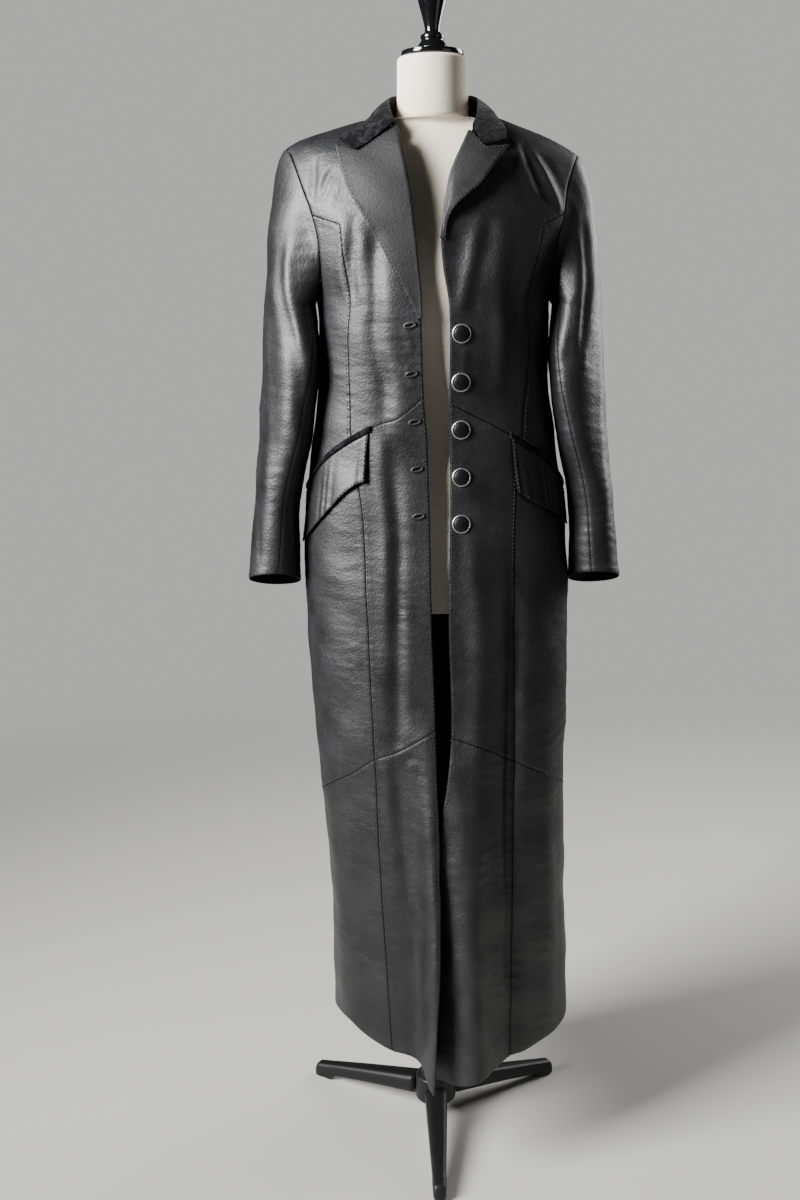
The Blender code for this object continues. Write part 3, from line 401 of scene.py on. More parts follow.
@dataclass
class HideRelief:
    """Soft unevenness of a hide: broad waves, and patches of fine wrinkles that run level."""
    seed: int
    broad_count: int = 7
    broad_rise: float = 0.0004
    broad_lengths: tuple[float, float] = (0.05, 0.15)
    wrinkle_count: int = 9
    wrinkle_rise: float = 0.00011
    wrinkle_lengths: tuple[float, float] = (0.011, 0.03)
    wrinkle_tilt: float = 0.35
    patch_lengths: tuple[float, float] = (0.1, 0.22)
    patch_share: float = 0.9
    waves: list = field(default_factory=list)

    def __post_init__(self) -> None:
        """Draw the waves from the seed."""
        rng = np.random.default_rng(self.seed)
        for _ in range(self.broad_count):
            way = unit(rng.normal(size=3))
            self.waves.append((way * math.tau / rng.uniform(*self.broad_lengths),
                               rng.uniform(0, math.tau), self.broad_rise, None))
        for _ in range(self.wrinkle_count):
            way = unit(np.array((*rng.uniform(-self.wrinkle_tilt, self.wrinkle_tilt, 2), 1.0)))
            gate = unit(rng.normal(size=3)) * math.tau / rng.uniform(*self.patch_lengths)
            self.waves.append((way * math.tau / rng.uniform(*self.wrinkle_lengths),
                               rng.uniform(0, math.tau), self.wrinkle_rise, gate))

    def __call__(self, points: Array) -> Array:
        """Rise at points, in metres.

        Args:
            points: Points on the surface.

        Returns:
            One rise for each point.
        """
        total = np.zeros(points.shape[:-1])
        for wave, phase, rise, gate in self.waves:
            height = rise * np.sin(points @ wave + phase)
            if gate is not None:
                height = height * smooth(np.sin(points @ gate + phase) * self.patch_share)
            total += height
        return total


# Nodes, materials and meshes
def linear(hex_colour: str) -> tuple[float, float, float, float]:
    """Linear colour of an sRGB hex value."""
    channels = [int(hex_colour[k:k + 2], 16) / 255.0 for k in (1, 3, 5)]
    return (*[c / 12.92 if c <= 0.04045 else ((c + 0.055) / 1.055) ** 2.4 for c in channels], 1.0)


def set_inputs(tree: NodeTree, node: Node, inputs: dict[Any, Any]) -> None:
    """Set a node's sockets: a socket or a node's first output is linked, anything else is a value.

    Args:
        tree: Tree of the node.
        node: Node to set.
        inputs: What goes into each input.
    """
    for name, value in inputs.items():
        if isinstance(value, Node):
            value = value.outputs[0]
        if isinstance(value, NodeSocket):
            tree.links.new(value, node.inputs[name])
        else:
            node.inputs[name].default_value = value


def add_node(tree: NodeTree, kind: str, inputs: dict[Any, Any], **settings: Any) -> Node:
    """Add a node with its settings and links.

    Args:
        tree: Tree that the node goes into.
        kind: Blender's name of the node's type.
        inputs: Values, sockets or nodes for the node's inputs, by name or index.
        settings: Properties of the node.

    Returns:
        The new node.
    """
    node = tree.nodes.new(kind)
    for name, value in settings.items():
        setattr(node, name, value)
    set_inputs(tree, node, inputs)
    return node


def new_material(name: str) -> tuple[Material, Callable[..., Node], NodeSocket]:
    """Empty material, a function that adds its nodes, and its Object coordinates.

    Args:
        name: Name of the material.

    Returns:
        The material, the function and the coordinates.
    """
    material = bpy.data.materials.new(name)
    material.use_nodes = True
    add = partial(add_node, material.node_tree)
    return material, add, add("ShaderNodeTexCoord", {}).outputs["Object"]


def dress(material: Material, inputs: dict[Any, Any]) -> Material:
    """Set the sockets of a material's shader."""
    set_inputs(material.node_tree, material.node_tree.nodes["Principled BSDF"], inputs)
    return material


@dataclass(frozen=True)
class NappaLeather:
    """Black lamb nappa, drum-dyed and lightly finished: a soft grey gloss broken by a pebbled grain.

    The hide breaks into short level wrinkles where it bends, and its finish is rubbed lighter and duller in
    patches. The seams hold a thin dark line of painted shade, where the specular level drops too.
    """
    name: str = "black_lamb_nappa"
    body: str = "#0b0b0c"
    worn: str = "#1a1a1c"
    # painted shade in the seam grooves: its colour, and how far from a seam it reaches
    crevice: str = "#060606"
    crevice_mm: float = 1.3
    grain_mm: float = 1.6  # real grain is under 1 mm, drawn coarser so that it shows
    pebble_mm: float = 4.2
    wrinkle_mm: float = 7.0
    patina_mm: float = 55.0
    roughness: tuple[float, float] = (0.37, 0.49)
    gloss_break: float = 0.1
    wrinkle_bump: tuple[float, float] = (0.3, 0.0013)  # strength and depth
    pebble_bump: tuple[float, float] = (0.24, 0.0009)
    grain_bump: tuple[float, float] = (0.32, 0.0005)

    def build(self) -> Material:
        """Make the material."""
        material, add, place = new_material(self.name)
        patina = add("ShaderNodeTexNoise", {
            "Vector": place, "Scale": 1.0 / (self.patina_mm * MM), "Detail": 6.0, "Roughness": 0.65})
        level = add("ShaderNodeMapping", {"Vector": place, "Scale": (0.3, 0.3, 1.0)})
        wrinkle = add("ShaderNodeTexNoise", {
            "Vector": level, "Scale": 1.0 / (self.wrinkle_mm * MM), "Detail": 4.0,
            "Roughness": 0.6, "Distortion": 0.8})
        pebble, grain = (add("ShaderNodeTexVoronoi", {
            "Vector": place, "Scale": 1.0 / (size * MM)}) for size in (self.pebble_mm, self.grain_mm))
        seam = add("ShaderNodeAttribute", {}, attribute_name="seam")
        # painted shade along the seams: full at a seam and gone a little way from it; the specular level
        # drops there too
        shade = add("ShaderNodeMapRange", {
            "Value": seam.outputs["Fac"], "From Max": self.crevice_mm * MM, "To Min": 1.0, "To Max": 0.0})
        shine = add("ShaderNodeMapRange", {
            "Value": shade, "To Min": 0.5, "To Max": 0.15})
        rubbed = add("ShaderNodeMapRange", {
            "Value": patina, "From Min": 0.35, "From Max": 0.75})
        hide = add("ShaderNodeMix", {
            0: rubbed, 6: linear(self.body), 7: linear(self.worn)}, data_type="RGBA")
        # the painted seam shade darkens the hide's colour
        colour = add("ShaderNodeMix", {
            0: shade, 6: hide.outputs[2], 7: linear(self.crevice)}, data_type="RGBA")
        gloss = add("ShaderNodeMapRange", {
            "Value": patina, "From Min": 0.25, "From Max": 0.75,
            "To Min": self.roughness[0], "To Max": self.roughness[1]})
        broken = add("ShaderNodeMath", {
            0: pebble.outputs["Distance"], 1: self.gloss_break, 2: gloss}, operation="MULTIPLY_ADD")
        normal = {}
        for height, (strength, depth), sunk in (
                (wrinkle, self.wrinkle_bump, False),
                (pebble.outputs["Distance"], self.pebble_bump, True),
                (grain.outputs["Distance"], self.grain_bump, True)):
            bump = add("ShaderNodeBump", {
                "Height": height, "Strength": strength, "Distance": depth, **normal}, invert=sunk)
            normal = {"Normal": bump}
        return dress(material, {"Base Color": colour.outputs[2], "Roughness": broken,
                                "IOR": 1.5, "Specular IOR Level": shine, **normal})


@dataclass(frozen=True)
class SatinLining:
    """Black acetate satin: a thin dark sheet with a dull sheen along its warp."""
    body: str = "#0b0b0c"
    warp_mm: float = 1.6  # real warp is far finer, drawn coarser so that it shows

    def build(self) -> Material:
        """Make the material."""
        material, add, place = new_material("black_acetate_satin")
        turned = add("ShaderNodeMapping", {"Vector": place, "Scale": (1.0, 1.0, 0.05)})
        warp = add("ShaderNodeTexNoise", {
            "Vector": turned, "Scale": 1.0 / (self.warp_mm * MM), "Detail": 2.0})
        bump = add("ShaderNodeBump", {
            "Height": warp, "Strength": 0.15, "Distance": 0.0004})
        gloss = add("ShaderNodeMapRange", {
            "Value": warp, "To Min": 0.45, "To Max": 0.62})
        return dress(material, {
            "Base Color": linear(self.body), "Roughness": gloss,
            "Normal": bump, "Specular IOR Level": 0.25})


@dataclass(frozen=True)
class CottonVelvet:
    """Black cotton velvet: matt pile, brushed patches lighter partly by painted sheen, and a grey edge of
    sheen.
    """
    pile: str = "#050506"
    # lighter tone of brushed pile: partly worn pile, partly painted sheen
    brushed: str = "#2b2b2e"
    brush_mm: float = 11.0
    pile_mm: float = 1.5  # real pile is finer, drawn coarser so that it shows

    def build(self) -> Material:
        """Make the material."""
        material, add, place = new_material("black_cotton_velvet")
        patches = add("ShaderNodeTexNoise", {
            "Vector": place, "Scale": 1.0 / (self.brush_mm * MM), "Detail": 4.0, "Distortion": 0.9})
        nap = add("ShaderNodeTexNoise", {
            "Vector": place, "Scale": 1.0 / (self.pile_mm * MM), "Detail": 2.0})
        # patches of brushed pile: their lighter colour is partly wear and partly painted sheen
        marks = add("ShaderNodeMapRange", {
            "Value": patches, "From Min": 0.48, "From Max": 0.66})
        lit = add("ShaderNodeMath", {0: marks, 1: nap}, operation="MULTIPLY")
        colour = add("ShaderNodeMix", {
            0: lit, 6: linear(self.pile), 7: linear(self.brushed)}, data_type="RGBA")
        lean = add("ShaderNodeBump", {
            "Height": patches, "Strength": 0.5, "Distance": 0.003})
        bump = add("ShaderNodeBump", {
            "Height": nap, "Strength": 0.6, "Distance": 0.001, "Normal": lean})
        return dress(material, {
            "Base Color": colour.outputs[2], "Roughness": 0.95, "Normal": bump,
            "Specular IOR Level": 0.1, "Sheen Weight": 0.1, "Sheen Roughness": 0.35})


@dataclass(frozen=True)
class CreamLinen:
    """Unbleached linen stretched over the form: matt cream, with slubs along a plain weave."""
    light: str = "#e6dccb"
    shade: str = "#cdbfa9"
    thread_mm: float = 1.6  # real threads are about 0.6 mm, drawn coarser so that they show
    stain_mm: float = 90.0

    def build(self) -> Material:
        """Make the material."""
        material, add, place = new_material("cream_linen_plain_weave")
        pitch = 1.0 / (self.thread_mm * MM)
        weft = add("ShaderNodeMapping", {"Vector": place, "Scale": (0.08, 0.08, 1.0)})
        warp = add("ShaderNodeMapping", {"Vector": place, "Scale": (1.0, 1.0, 0.08)})
        slubs = [add("ShaderNodeTexNoise", {
            "Vector": threads, "Scale": pitch, "Detail": 2.0}) for threads in (weft, warp)]
        weave = add("ShaderNodeMath", {0: slubs[0], 1: slubs[1]},
                         operation="ADD")
        stain = add("ShaderNodeTexNoise", {
            "Vector": place, "Scale": 1.0 / (self.stain_mm * MM), "Detail": 4.0})
        tone = add("ShaderNodeMath", {0: weave, 1: stain},
                        operation="MULTIPLY")
        share = add("ShaderNodeMapRange", {
            "Value": tone, "From Min": 0.3, "From Max": 0.8, "To Min": 0.0, "To Max": 0.7})
        colour = add("ShaderNodeMix", {
            0: share, 6: linear(self.light), 7: linear(self.shade)}, data_type="RGBA")
        bump = add("ShaderNodeBump", {
            "Height": weave, "Strength": 0.3, "Distance": 0.0005})
        return dress(material, {
            "Base Color": colour.outputs[2], "Roughness": 0.9, "Normal": bump,
            "Sheen Weight": 0.1, "Specular IOR Level": 0.3})


@dataclass(frozen=True)
class HardFinish:
    """Paint or metal with a fine uneven surface.

    Lacquer on turned wood is a deep gloss with a faint ripple, enamel on a tube is smoother and duller,
    cast iron has a sandy skin, and a brushed steel rim is grey with soft highlights.
    """
    name: str
    body: str
    worn: str
    roughness: tuple[float, float]
    grit_mm: float
    bump: float
    metallic: float = 0.0
    coat: float = 0.0
    shine: float = 0.5

    def build(self) -> Material:
        """Make the material."""
        material, add, place = new_material(self.name)
        grit = add("ShaderNodeTexNoise", {
            "Vector": place, "Scale": 1.0 / (self.grit_mm * MM), "Detail": 4.0})
        colour = add("ShaderNodeMix", {
            0: grit, 6: linear(self.body), 7: linear(self.worn)}, data_type="RGBA")
        gloss = add("ShaderNodeMapRange", {
            "Value": grit, "From Min": 0.3, "From Max": 0.7,
            "To Min": self.roughness[0], "To Max": self.roughness[1]})
        bump = add("ShaderNodeBump", {
            "Height": grit, "Strength": self.bump, "Distance": 0.001})
        return dress(material, {
            "Base Color": colour.outputs[2], "Roughness": gloss,
            "Normal": bump, "Metallic": self.metallic, "Coat Weight": self.coat,
            "Coat Roughness": 0.06, "Specular IOR Level": self.shine})


@dataclass(frozen=True)
class SeamlessPaper:
    """Pale matt paper on the floor, which fades at its rim into the tone of the room."""
    tone: str = "#b4b3b1"
    solid: float = 1.1  # metres from the middle that stay solid
    gone: float = 2.9

    def build(self) -> Material:
        """Make the material."""
        material, add, place = new_material("pale_seamless_paper")
        reach = add("ShaderNodeVectorMath", {0: place}, operation="LENGTH")
        shown = add("ShaderNodeMapRange", {
            "Value": reach.outputs["Value"], "From Min": self.solid, "From Max": self.gone,
            "To Min": 1.0, "To Max": 0.0}, interpolation_type="SMOOTHSTEP")
        return dress(material, {
            "Base Color": linear(self.tone), "Roughness": 0.9, "Specular IOR Level": 0.2,
            "Alpha": shown})


class Finish(Enum):
    """Finishes of the object and its floor, each made once."""
    LEATHER = NappaLeather()
    FACING = NappaLeather("dull_black_nappa", "#0d0d0e", "#19191b", wrinkle_mm=5.0, roughness=(0.53, 0.66))
    COVER = HardFinish("black_button_leather", "#060607", "#0c0c0d", (0.42, 0.55), 1.6, 0.25, shine=0.22)
    LINING = SatinLining()
    VELVET = CottonVelvet()
    LINEN = CreamLinen()
    LACQUER = HardFinish("black_lacquer_on_wood", "#08080a", "#0d0d0f", (0.1, 0.18), 8.0, 0.03, coat=0.6)
    ENAMEL = HardFinish("black_tube_enamel", "#0a0a0b", "#141416", (0.28, 0.4), 5.0, 0.06)
    IRON = HardFinish("black_painted_cast_iron", "#060607", "#111112", (0.4, 0.58), 2.2, 0.35, shine=0.35)
    STEEL = HardFinish("brushed_button_steel", "#b4b4b6", "#d6d6d8", (0.34, 0.46), 1.0, 0.06, metallic=1.0)
    THREAD = HardFinish("black_polyester_thread", "#17171a", "#29292c", (0.5, 0.65), 1.0, 0.2, shine=0.3)
    PAPER = SeamlessPaper()

    @property
    def material(self) -> Material:
        """The finish's material."""
        if self.name not in MADE:
            MADE[self.name] = self.value.build()
        return MADE[self.name]


MADE: dict[str, Material] = {}


def link(name: str, data: Any) -> Object:
    """New object in the scene."""
    item = bpy.data.objects.new(name, data)
    bpy.context.scene.collection.objects.link(item)
    return item


def mesh_object(name: str, points: Array, faces: list, finishes: tuple[Finish, ...]) -> Object:
    """Object from points and faces, shaded smooth.

    Args:
        name: Name of the piece.
        points: Its points, measured from the stand's axis.
        faces: Lists of point numbers.
        finishes: Its finishes, in the order of its material slots.

    Returns:
        The linked object.
    """
    mesh = bpy.data.meshes.new(name)
    mesh.from_pydata((np.asarray(points).reshape(-1, 3) + STAND_SHIFT).tolist(), [], faces)
    mesh.shade_smooth()
    for finish in finishes:
        mesh.materials.append(finish.material)
    return link(name, mesh)


def stand_for(piece: Object, slot: str, *nodes: str) -> Object:
    """Let a piece ride on the part, in the place of CAD nodes.

    Args:
        piece: The piece.
        slot: Its material slot; not used.
        nodes: Nodes that it replaces.

    Returns:
        The piece.
    """
    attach(piece, BODY_NAME)
    if nodes:
        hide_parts(*nodes)
    log.info("%s: %d faces", piece.name, len(piece.data.polygons))
    return piece


def mark_seam(piece: Object, distances: Array) -> None:
    """Keep each point's distance to the nearest seam, for the leather's thin line of painted shade there.
    """
    piece.data.attributes.new("seam", "FLOAT", "POINT").data.foreach_set("value", distances)


def grid_faces(rows: int, columns: int, round_rows: bool = False, round_columns: bool = False) -> Array:
    """Quads of a grid of points.

    Args:
        rows: Number of rows of points.
        columns: Number of points in a row.
        round_rows: Whether the last row joins the first.
        round_columns: Whether each row is a loop.

    Returns:
        Four point numbers for each quad.
    """
    number = np.arange(rows * columns).reshape(rows, columns)
    number = np.pad(number, ((0, int(round_rows)), (0, int(round_columns))), mode="wrap")
    corners = (number[:-1, :-1], number[:-1, 1:], number[1:, 1:], number[1:, :-1])
    return np.stack(corners, axis=2).reshape(-1, 4)


def tube_faces(rows: int, columns: int, order: tuple[int, ...]) -> list:
    """Faces of a tube of looped rows, closed at both ends, each quad's points in the given order."""
    quads = grid_faces(rows, columns, round_columns=True)[:, order].tolist()
    return [*quads, list(range(columns)), list(range(rows * columns))[:-columns - 1:-1]]


def lathe(profile: Array, segments: int) -> tuple[Array, list]:
    """Points and faces of a turned solid.

    Args:
        profile: Radius and height of points that run down its outer side, from the axis to the axis.
        segments: Number of steps round the axis.

    Returns:
        Its points and faces.
    """
    turn = np.linspace(0.0, math.tau, segments, endpoint=False)
    ring = np.stack((np.cos(turn), np.sin(turn)), axis=1)
    body = profile[1:-1]
    points = [np.column_stack((ring * radius, np.full(segments, height))) for radius, height in body]
    top, base = (np.array(((0.0, 0.0, height),)) for height in (profile[0][1], profile[-1][1]))
    last = 1 + segments * len(body)
    steps = [(k, (k + 1) % segments) for k in range(segments)]
    faces = [(0, 1 + here, 1 + after) for here, after in steps]
    faces += (1 + grid_faces(len(body), segments, round_columns=True)[:, (0, 3, 2, 1)]).tolist()
    faces += [(last, last - segments + after, last - segments + here) for here, after in steps]
    return np.concatenate((top, *points, base)), faces


def turned(name: str, profile: Array, segments: int, finish: Finish) -> Object:
    """Turned piece in one finish."""
    return mesh_object(name, *lathe(profile, segments), (finish,))


def rounded(profile: tuple[Turning, ...], steps: int) -> Array:
    """Finer points along a turned profile, with a number of steps on each stretch."""
    fine = spline(np.array(profile), np.linspace(0.0, 1.0, steps * (len(profile) - 1) + 1))
    fine[:, 0] = np.maximum(fine[:, 0], 0.0)
    return fine


def run_nodes(source: Object, tree: NodeTree, values: dict[str, Any],
              name: str) -> Object:
    """Run a Geometry Nodes tree on an object and keep the result as a plain mesh.

    Args:
        source: Object that the tree works on; it is removed.
        tree: The tree.
        values: Values of the tree's named inputs.
        name: Name of the new piece.

    Returns:
        The new object, at the origin.
    """
    modifier = source.modifiers.new("nodes", "NODES")
    modifier.node_group = tree
    for item in tree.interface.items_tree:
        if item.in_out == "INPUT" and item.name in values:
            modifier[item.identifier] = values[item.name]
    bpy.context.view_layer.update()
    evaluated = source.evaluated_get(bpy.context.evaluated_depsgraph_get())
    mesh = bpy.data.meshes.new_from_object(evaluated)
    source.modifiers.remove(modifier)
    bpy.data.objects.remove(source)
    mesh.name = name
    return link(name, mesh)


def new_tree(name: str, inputs: dict[str, str]) -> tuple[NodeTree, Callable[..., Node], Node]:
    """Empty Geometry Nodes tree.

    Args:
        name: Name of the tree.
        inputs: Type of each named input's socket.

    Returns:
        The tree, a function that adds its nodes, and its input node.
    """
    tree = bpy.data.node_groups.new(name, "GeometryNodeTree")
    tree.interface.new_socket("Geometry", in_out="INPUT", socket_type="NodeSocketGeometry")
    for socket, kind in inputs.items():
        tree.interface.new_socket(socket, in_out="INPUT", socket_type=kind)
    tree.interface.new_socket("Geometry", in_out="OUTPUT", socket_type="NodeSocketGeometry")
    add = partial(add_node, tree)
    return tree, add, add("NodeGroupInput", {})


def close_tree(add: Callable[..., Node], instances: Node, finish: NodeSocket) -> None:
    """End a tree in real geometry with its material.

    Args:
        add: Function that adds the tree's nodes.
        instances: Last node.
        finish: Its material.
    """
    real = add("GeometryNodeRealizeInstances", {"Geometry": instances})
    round_off = add("GeometryNodeSetShadeSmooth", {"Geometry": real})
    dressed = add("GeometryNodeSetMaterial", {"Geometry": round_off, "Material": finish})
    add("NodeGroupOutput", {"Geometry": dressed})


# Cloth panels
@dataclass
class ClothPanel:
    """Thin closed wall of cloth over a surface, with turned edges, seam puckers and its own flat size."""
    name: str
    surface: Surface  # points from shares across and up
    facing: int  # 1 where across, up and outwards are right-handed
    step: float = 0.0036
    thickness: float = 0.0013
    pucker: float = 0.00025
    finishes: tuple[Finish, Finish] = (Finish.LEATHER, Finish.LINING)
    gap: float = -0.0003  # below 0, the turned edges of neighbours meet
    rim_steps: int = 4
    rim_bulge: float = 0.8
    edge_lines: tuple[float, ...] = (0.0, 0.0009, 0.0019, 0.003, 0.0044, 0.0064, 0.0092)
    edge_share: float = 0.4  # share of a narrow panel that its edge lines keep to
    samples: int = 49  # lines of the grid that gives a panel's size
    groove: tuple[float, float] = (0.0003, 0.0012)  # depth and breadth of the sunk seam line
    ridge: tuple[float, ...] = (0.00022, 0.0056, 0.0032)  # rise, place and breadth of the allowance
    pucker_waves: tuple[float, ...] = (0.0115, 0.083, 0.21)  # length of a pucker, its drift and patches
    pucker_phase: float = 1.9
    pucker_sway: float = 1.7
    pucker_gate: tuple[float, float] = (0.55, 0.45)
    pucker_reach: float = 0.0065
    points: Array = field(init=False)
    normals: Array = field(init=False)
    seam: Array = field(init=False)

    def __post_init__(self) -> None:
        """Work out the outer points."""
        coarse = 0.5 - 0.5 * np.cos(np.linspace(0.0, math.pi, self.samples))
        rough = self.surface(coarse, coarse)
        rows = np.linalg.norm(np.diff(rough, axis=1), axis=2).mean(axis=0)
        columns = np.linalg.norm(np.diff(rough, axis=0), axis=2).mean(axis=1)
        across, up = (np.interp(self.lines(steps.sum()), np.append(0.0, np.cumsum(steps)), coarse)
                      for steps in (rows, columns))
        self.points = self.surface(across, up)
        self.normals = self.outward(self.points)
        self.points = self.points + self.normals * self.edge_relief()[..., None]
        self.normals = self.outward(self.points)

    def lines(self, size: float) -> Array:
        """Distances of a panel's grid lines over its size, closer together along its edges.

        Args:
            size: Size of the panel.

        Returns:
            The distances.
        """
        inset = self.gap / 2 + self.thickness / 2 * self.rim_bulge
        near = np.array([line for line in self.edge_lines if line < self.edge_share * size]) + inset
        count = max(round((size - 2 * near[-1]) / self.step), 2)
        middle = np.linspace(near[-1], size - near[-1], count + 1)
        return np.concatenate((near[:-1], middle, size - near[:-1][::-1]))

    def outward(self, points: Array) -> Array:
        """Outward directions of a grid."""
        return unit(np.cross(np.gradient(points, axis=1), np.gradient(points, axis=0)) * self.facing)

    def edge_relief(self) -> Array:
        """Groove, allowance ridge and puckers along the edges.

        Returns:
            Rise of each point, in metres.
        """
        rows = np.linalg.norm(np.diff(self.points, axis=1), axis=2)
        columns = np.linalg.norm(np.diff(self.points, axis=0), axis=2)
        start = np.pad(np.cumsum(rows, axis=1), ((0, 0), (1, 0)))
        low = np.pad(np.cumsum(columns, axis=0), ((1, 0), (0, 0)))
        distances = (start, start[:, -1:] - start, low, low[-1:] - low)
        alongs = (low, low, start, start)
        self.seam = np.minimum.reduce(distances)
        depth, breadth = self.groove
        rise = -depth * np.exp(-(self.seam / breadth) ** 2)
        height, place, breadth = self.ridge
        rise += height * np.exp(-((self.seam - place) / breadth) ** 2)
        length, drift, patches = self.pucker_waves
        mean, swing = self.pucker_gate
        for number, (distance, along) in enumerate(zip(distances, alongs)):
            phase = number * self.pucker_phase + len(self.name)
            sway = self.pucker_sway * np.sin(math.tau * along / drift + phase)
            gate = mean + swing * np.sin(math.tau * along / patches + 2 * phase)
            rise += (self.pucker * np.sin(math.tau * along / length + sway) * gate
                     * np.exp(-(distance / self.pucker_reach) ** 2))
        return rise

    def line(self, edge: Edge, inset: int = 3, lift: float = 0.0002) -> Array:
        """Line of sewing along an edge.

        Args:
            edge: Edge that the line follows.
            inset: Number of grid lines in from the edge.
            lift: Height above the surface.

        Returns:
            Points of the line.
        """
        raised = self.points + self.normals * lift
        lines = {Edge.START: raised[:, inset], Edge.END: raised[:, -1 - inset],
                 Edge.LOW: raised[inset], Edge.HIGH: raised[-1 - inset]}
        return lines[edge]

    def rim(self) -> tuple[Array, Array]:
        """Outer border as a loop of point numbers, and the direction out of the panel at each."""
        count_up, count_across = self.points.shape[:2]
        number = np.arange(count_up * count_across).reshape(count_up, count_across)
        loop = np.concatenate((number[0, :-1], number[:-1, -1], number[-1, :0:-1], number[:0:-1, 0]))
        out = np.zeros_like(self.points)
        out[0] += unit(self.points[0] - self.points[1])
        out[-1] += unit(self.points[-1] - self.points[-2])
        out[:, 0] += unit(self.points[:, 0] - self.points[:, 1])
        out[:, -1] += unit(self.points[:, -1] - self.points[:, -2])
        out -= self.normals * (out * self.normals).sum(axis=2, keepdims=True)
        return loop, unit(out).reshape(-1, 3)[loop]

    def build(self) -> Object:
        """Make the closed wall.

        Returns:
            The piece, with its distance to the nearest edge in the attribute "seam".
        """
        count_up, count_across = self.points.shape[:2]
        total = count_up * count_across
        outer, normals = self.points.reshape(-1, 3), self.normals.reshape(-1, 3)
        loop, out = self.rim()
        half = self.thickness / 2
        rings = []
        for k in range(1, self.rim_steps):
            bend = math.pi * k / self.rim_steps
            rings.append(outer[loop] - normals[loop] * half * (1 - math.cos(bend))
                         + out * half * self.rim_bulge * math.sin(bend))
        points = np.concatenate((outer, outer - normals * self.thickness, *rings))
        quads = grid_faces(count_up, count_across)
        tracks = [loop] + [2 * total + k * len(loop) + np.arange(len(loop)) for k in range(len(rings))]
        tracks.append(loop + total)
        walls = [np.stack((a, b, np.roll(b, -1), np.roll(a, -1)), axis=1)
                 for a, b in zip(tracks[:-1], tracks[1:])]
        faces = np.concatenate((quads, *walls, quads[:, ::-1] + total))
        if self.facing < 0:
            faces = faces[:, ::-1]
        piece = mesh_object(f"{self.name}_cloth", points, faces.tolist(), self.finishes)
        inside = np.zeros(len(faces), dtype=np.int32)
        inside[-len(quads):] = 1
        piece.data.polygons.foreach_set("material_index", inside)
        # the rounded rim counts as lying on the seam, so the leather paints its full seam shade there
        seam = np.concatenate((self.seam.ravel(), self.seam.ravel(), np.zeros(len(loop) * len(rings))))
        mark_seam(piece, seam)
        return piece

    def make(self, slot: str, held: str, rests_on: list[str]) -> None:
        """Build the piece in the place of its node and state its cut, turned edges included.

        Args:
            slot: Material slot, passed on to stand_for.
            held: How the sheet is held; not used.
            rests_on: Names of what carries it; not used.
        """
        piece = stand_for(self.build(), slot, self.name)
        along, up = np.diff(self.points, axis=1), np.diff(self.points, axis=0)
        width = np.linalg.norm(along, axis=2).sum(axis=1).max()
        length = np.linalg.norm(up, axis=2).sum(axis=0).max()
        area = np.linalg.norm(np.cross(along[:-1], up[:, :-1]), axis=2).sum()
        area += (width + length) * self.thickness
        width, length = width + self.thickness, length + self.thickness
        log.info("%s: cut %.0f x %.0f mm, %.4f m2", self.name, width / MM, length / MM, area)


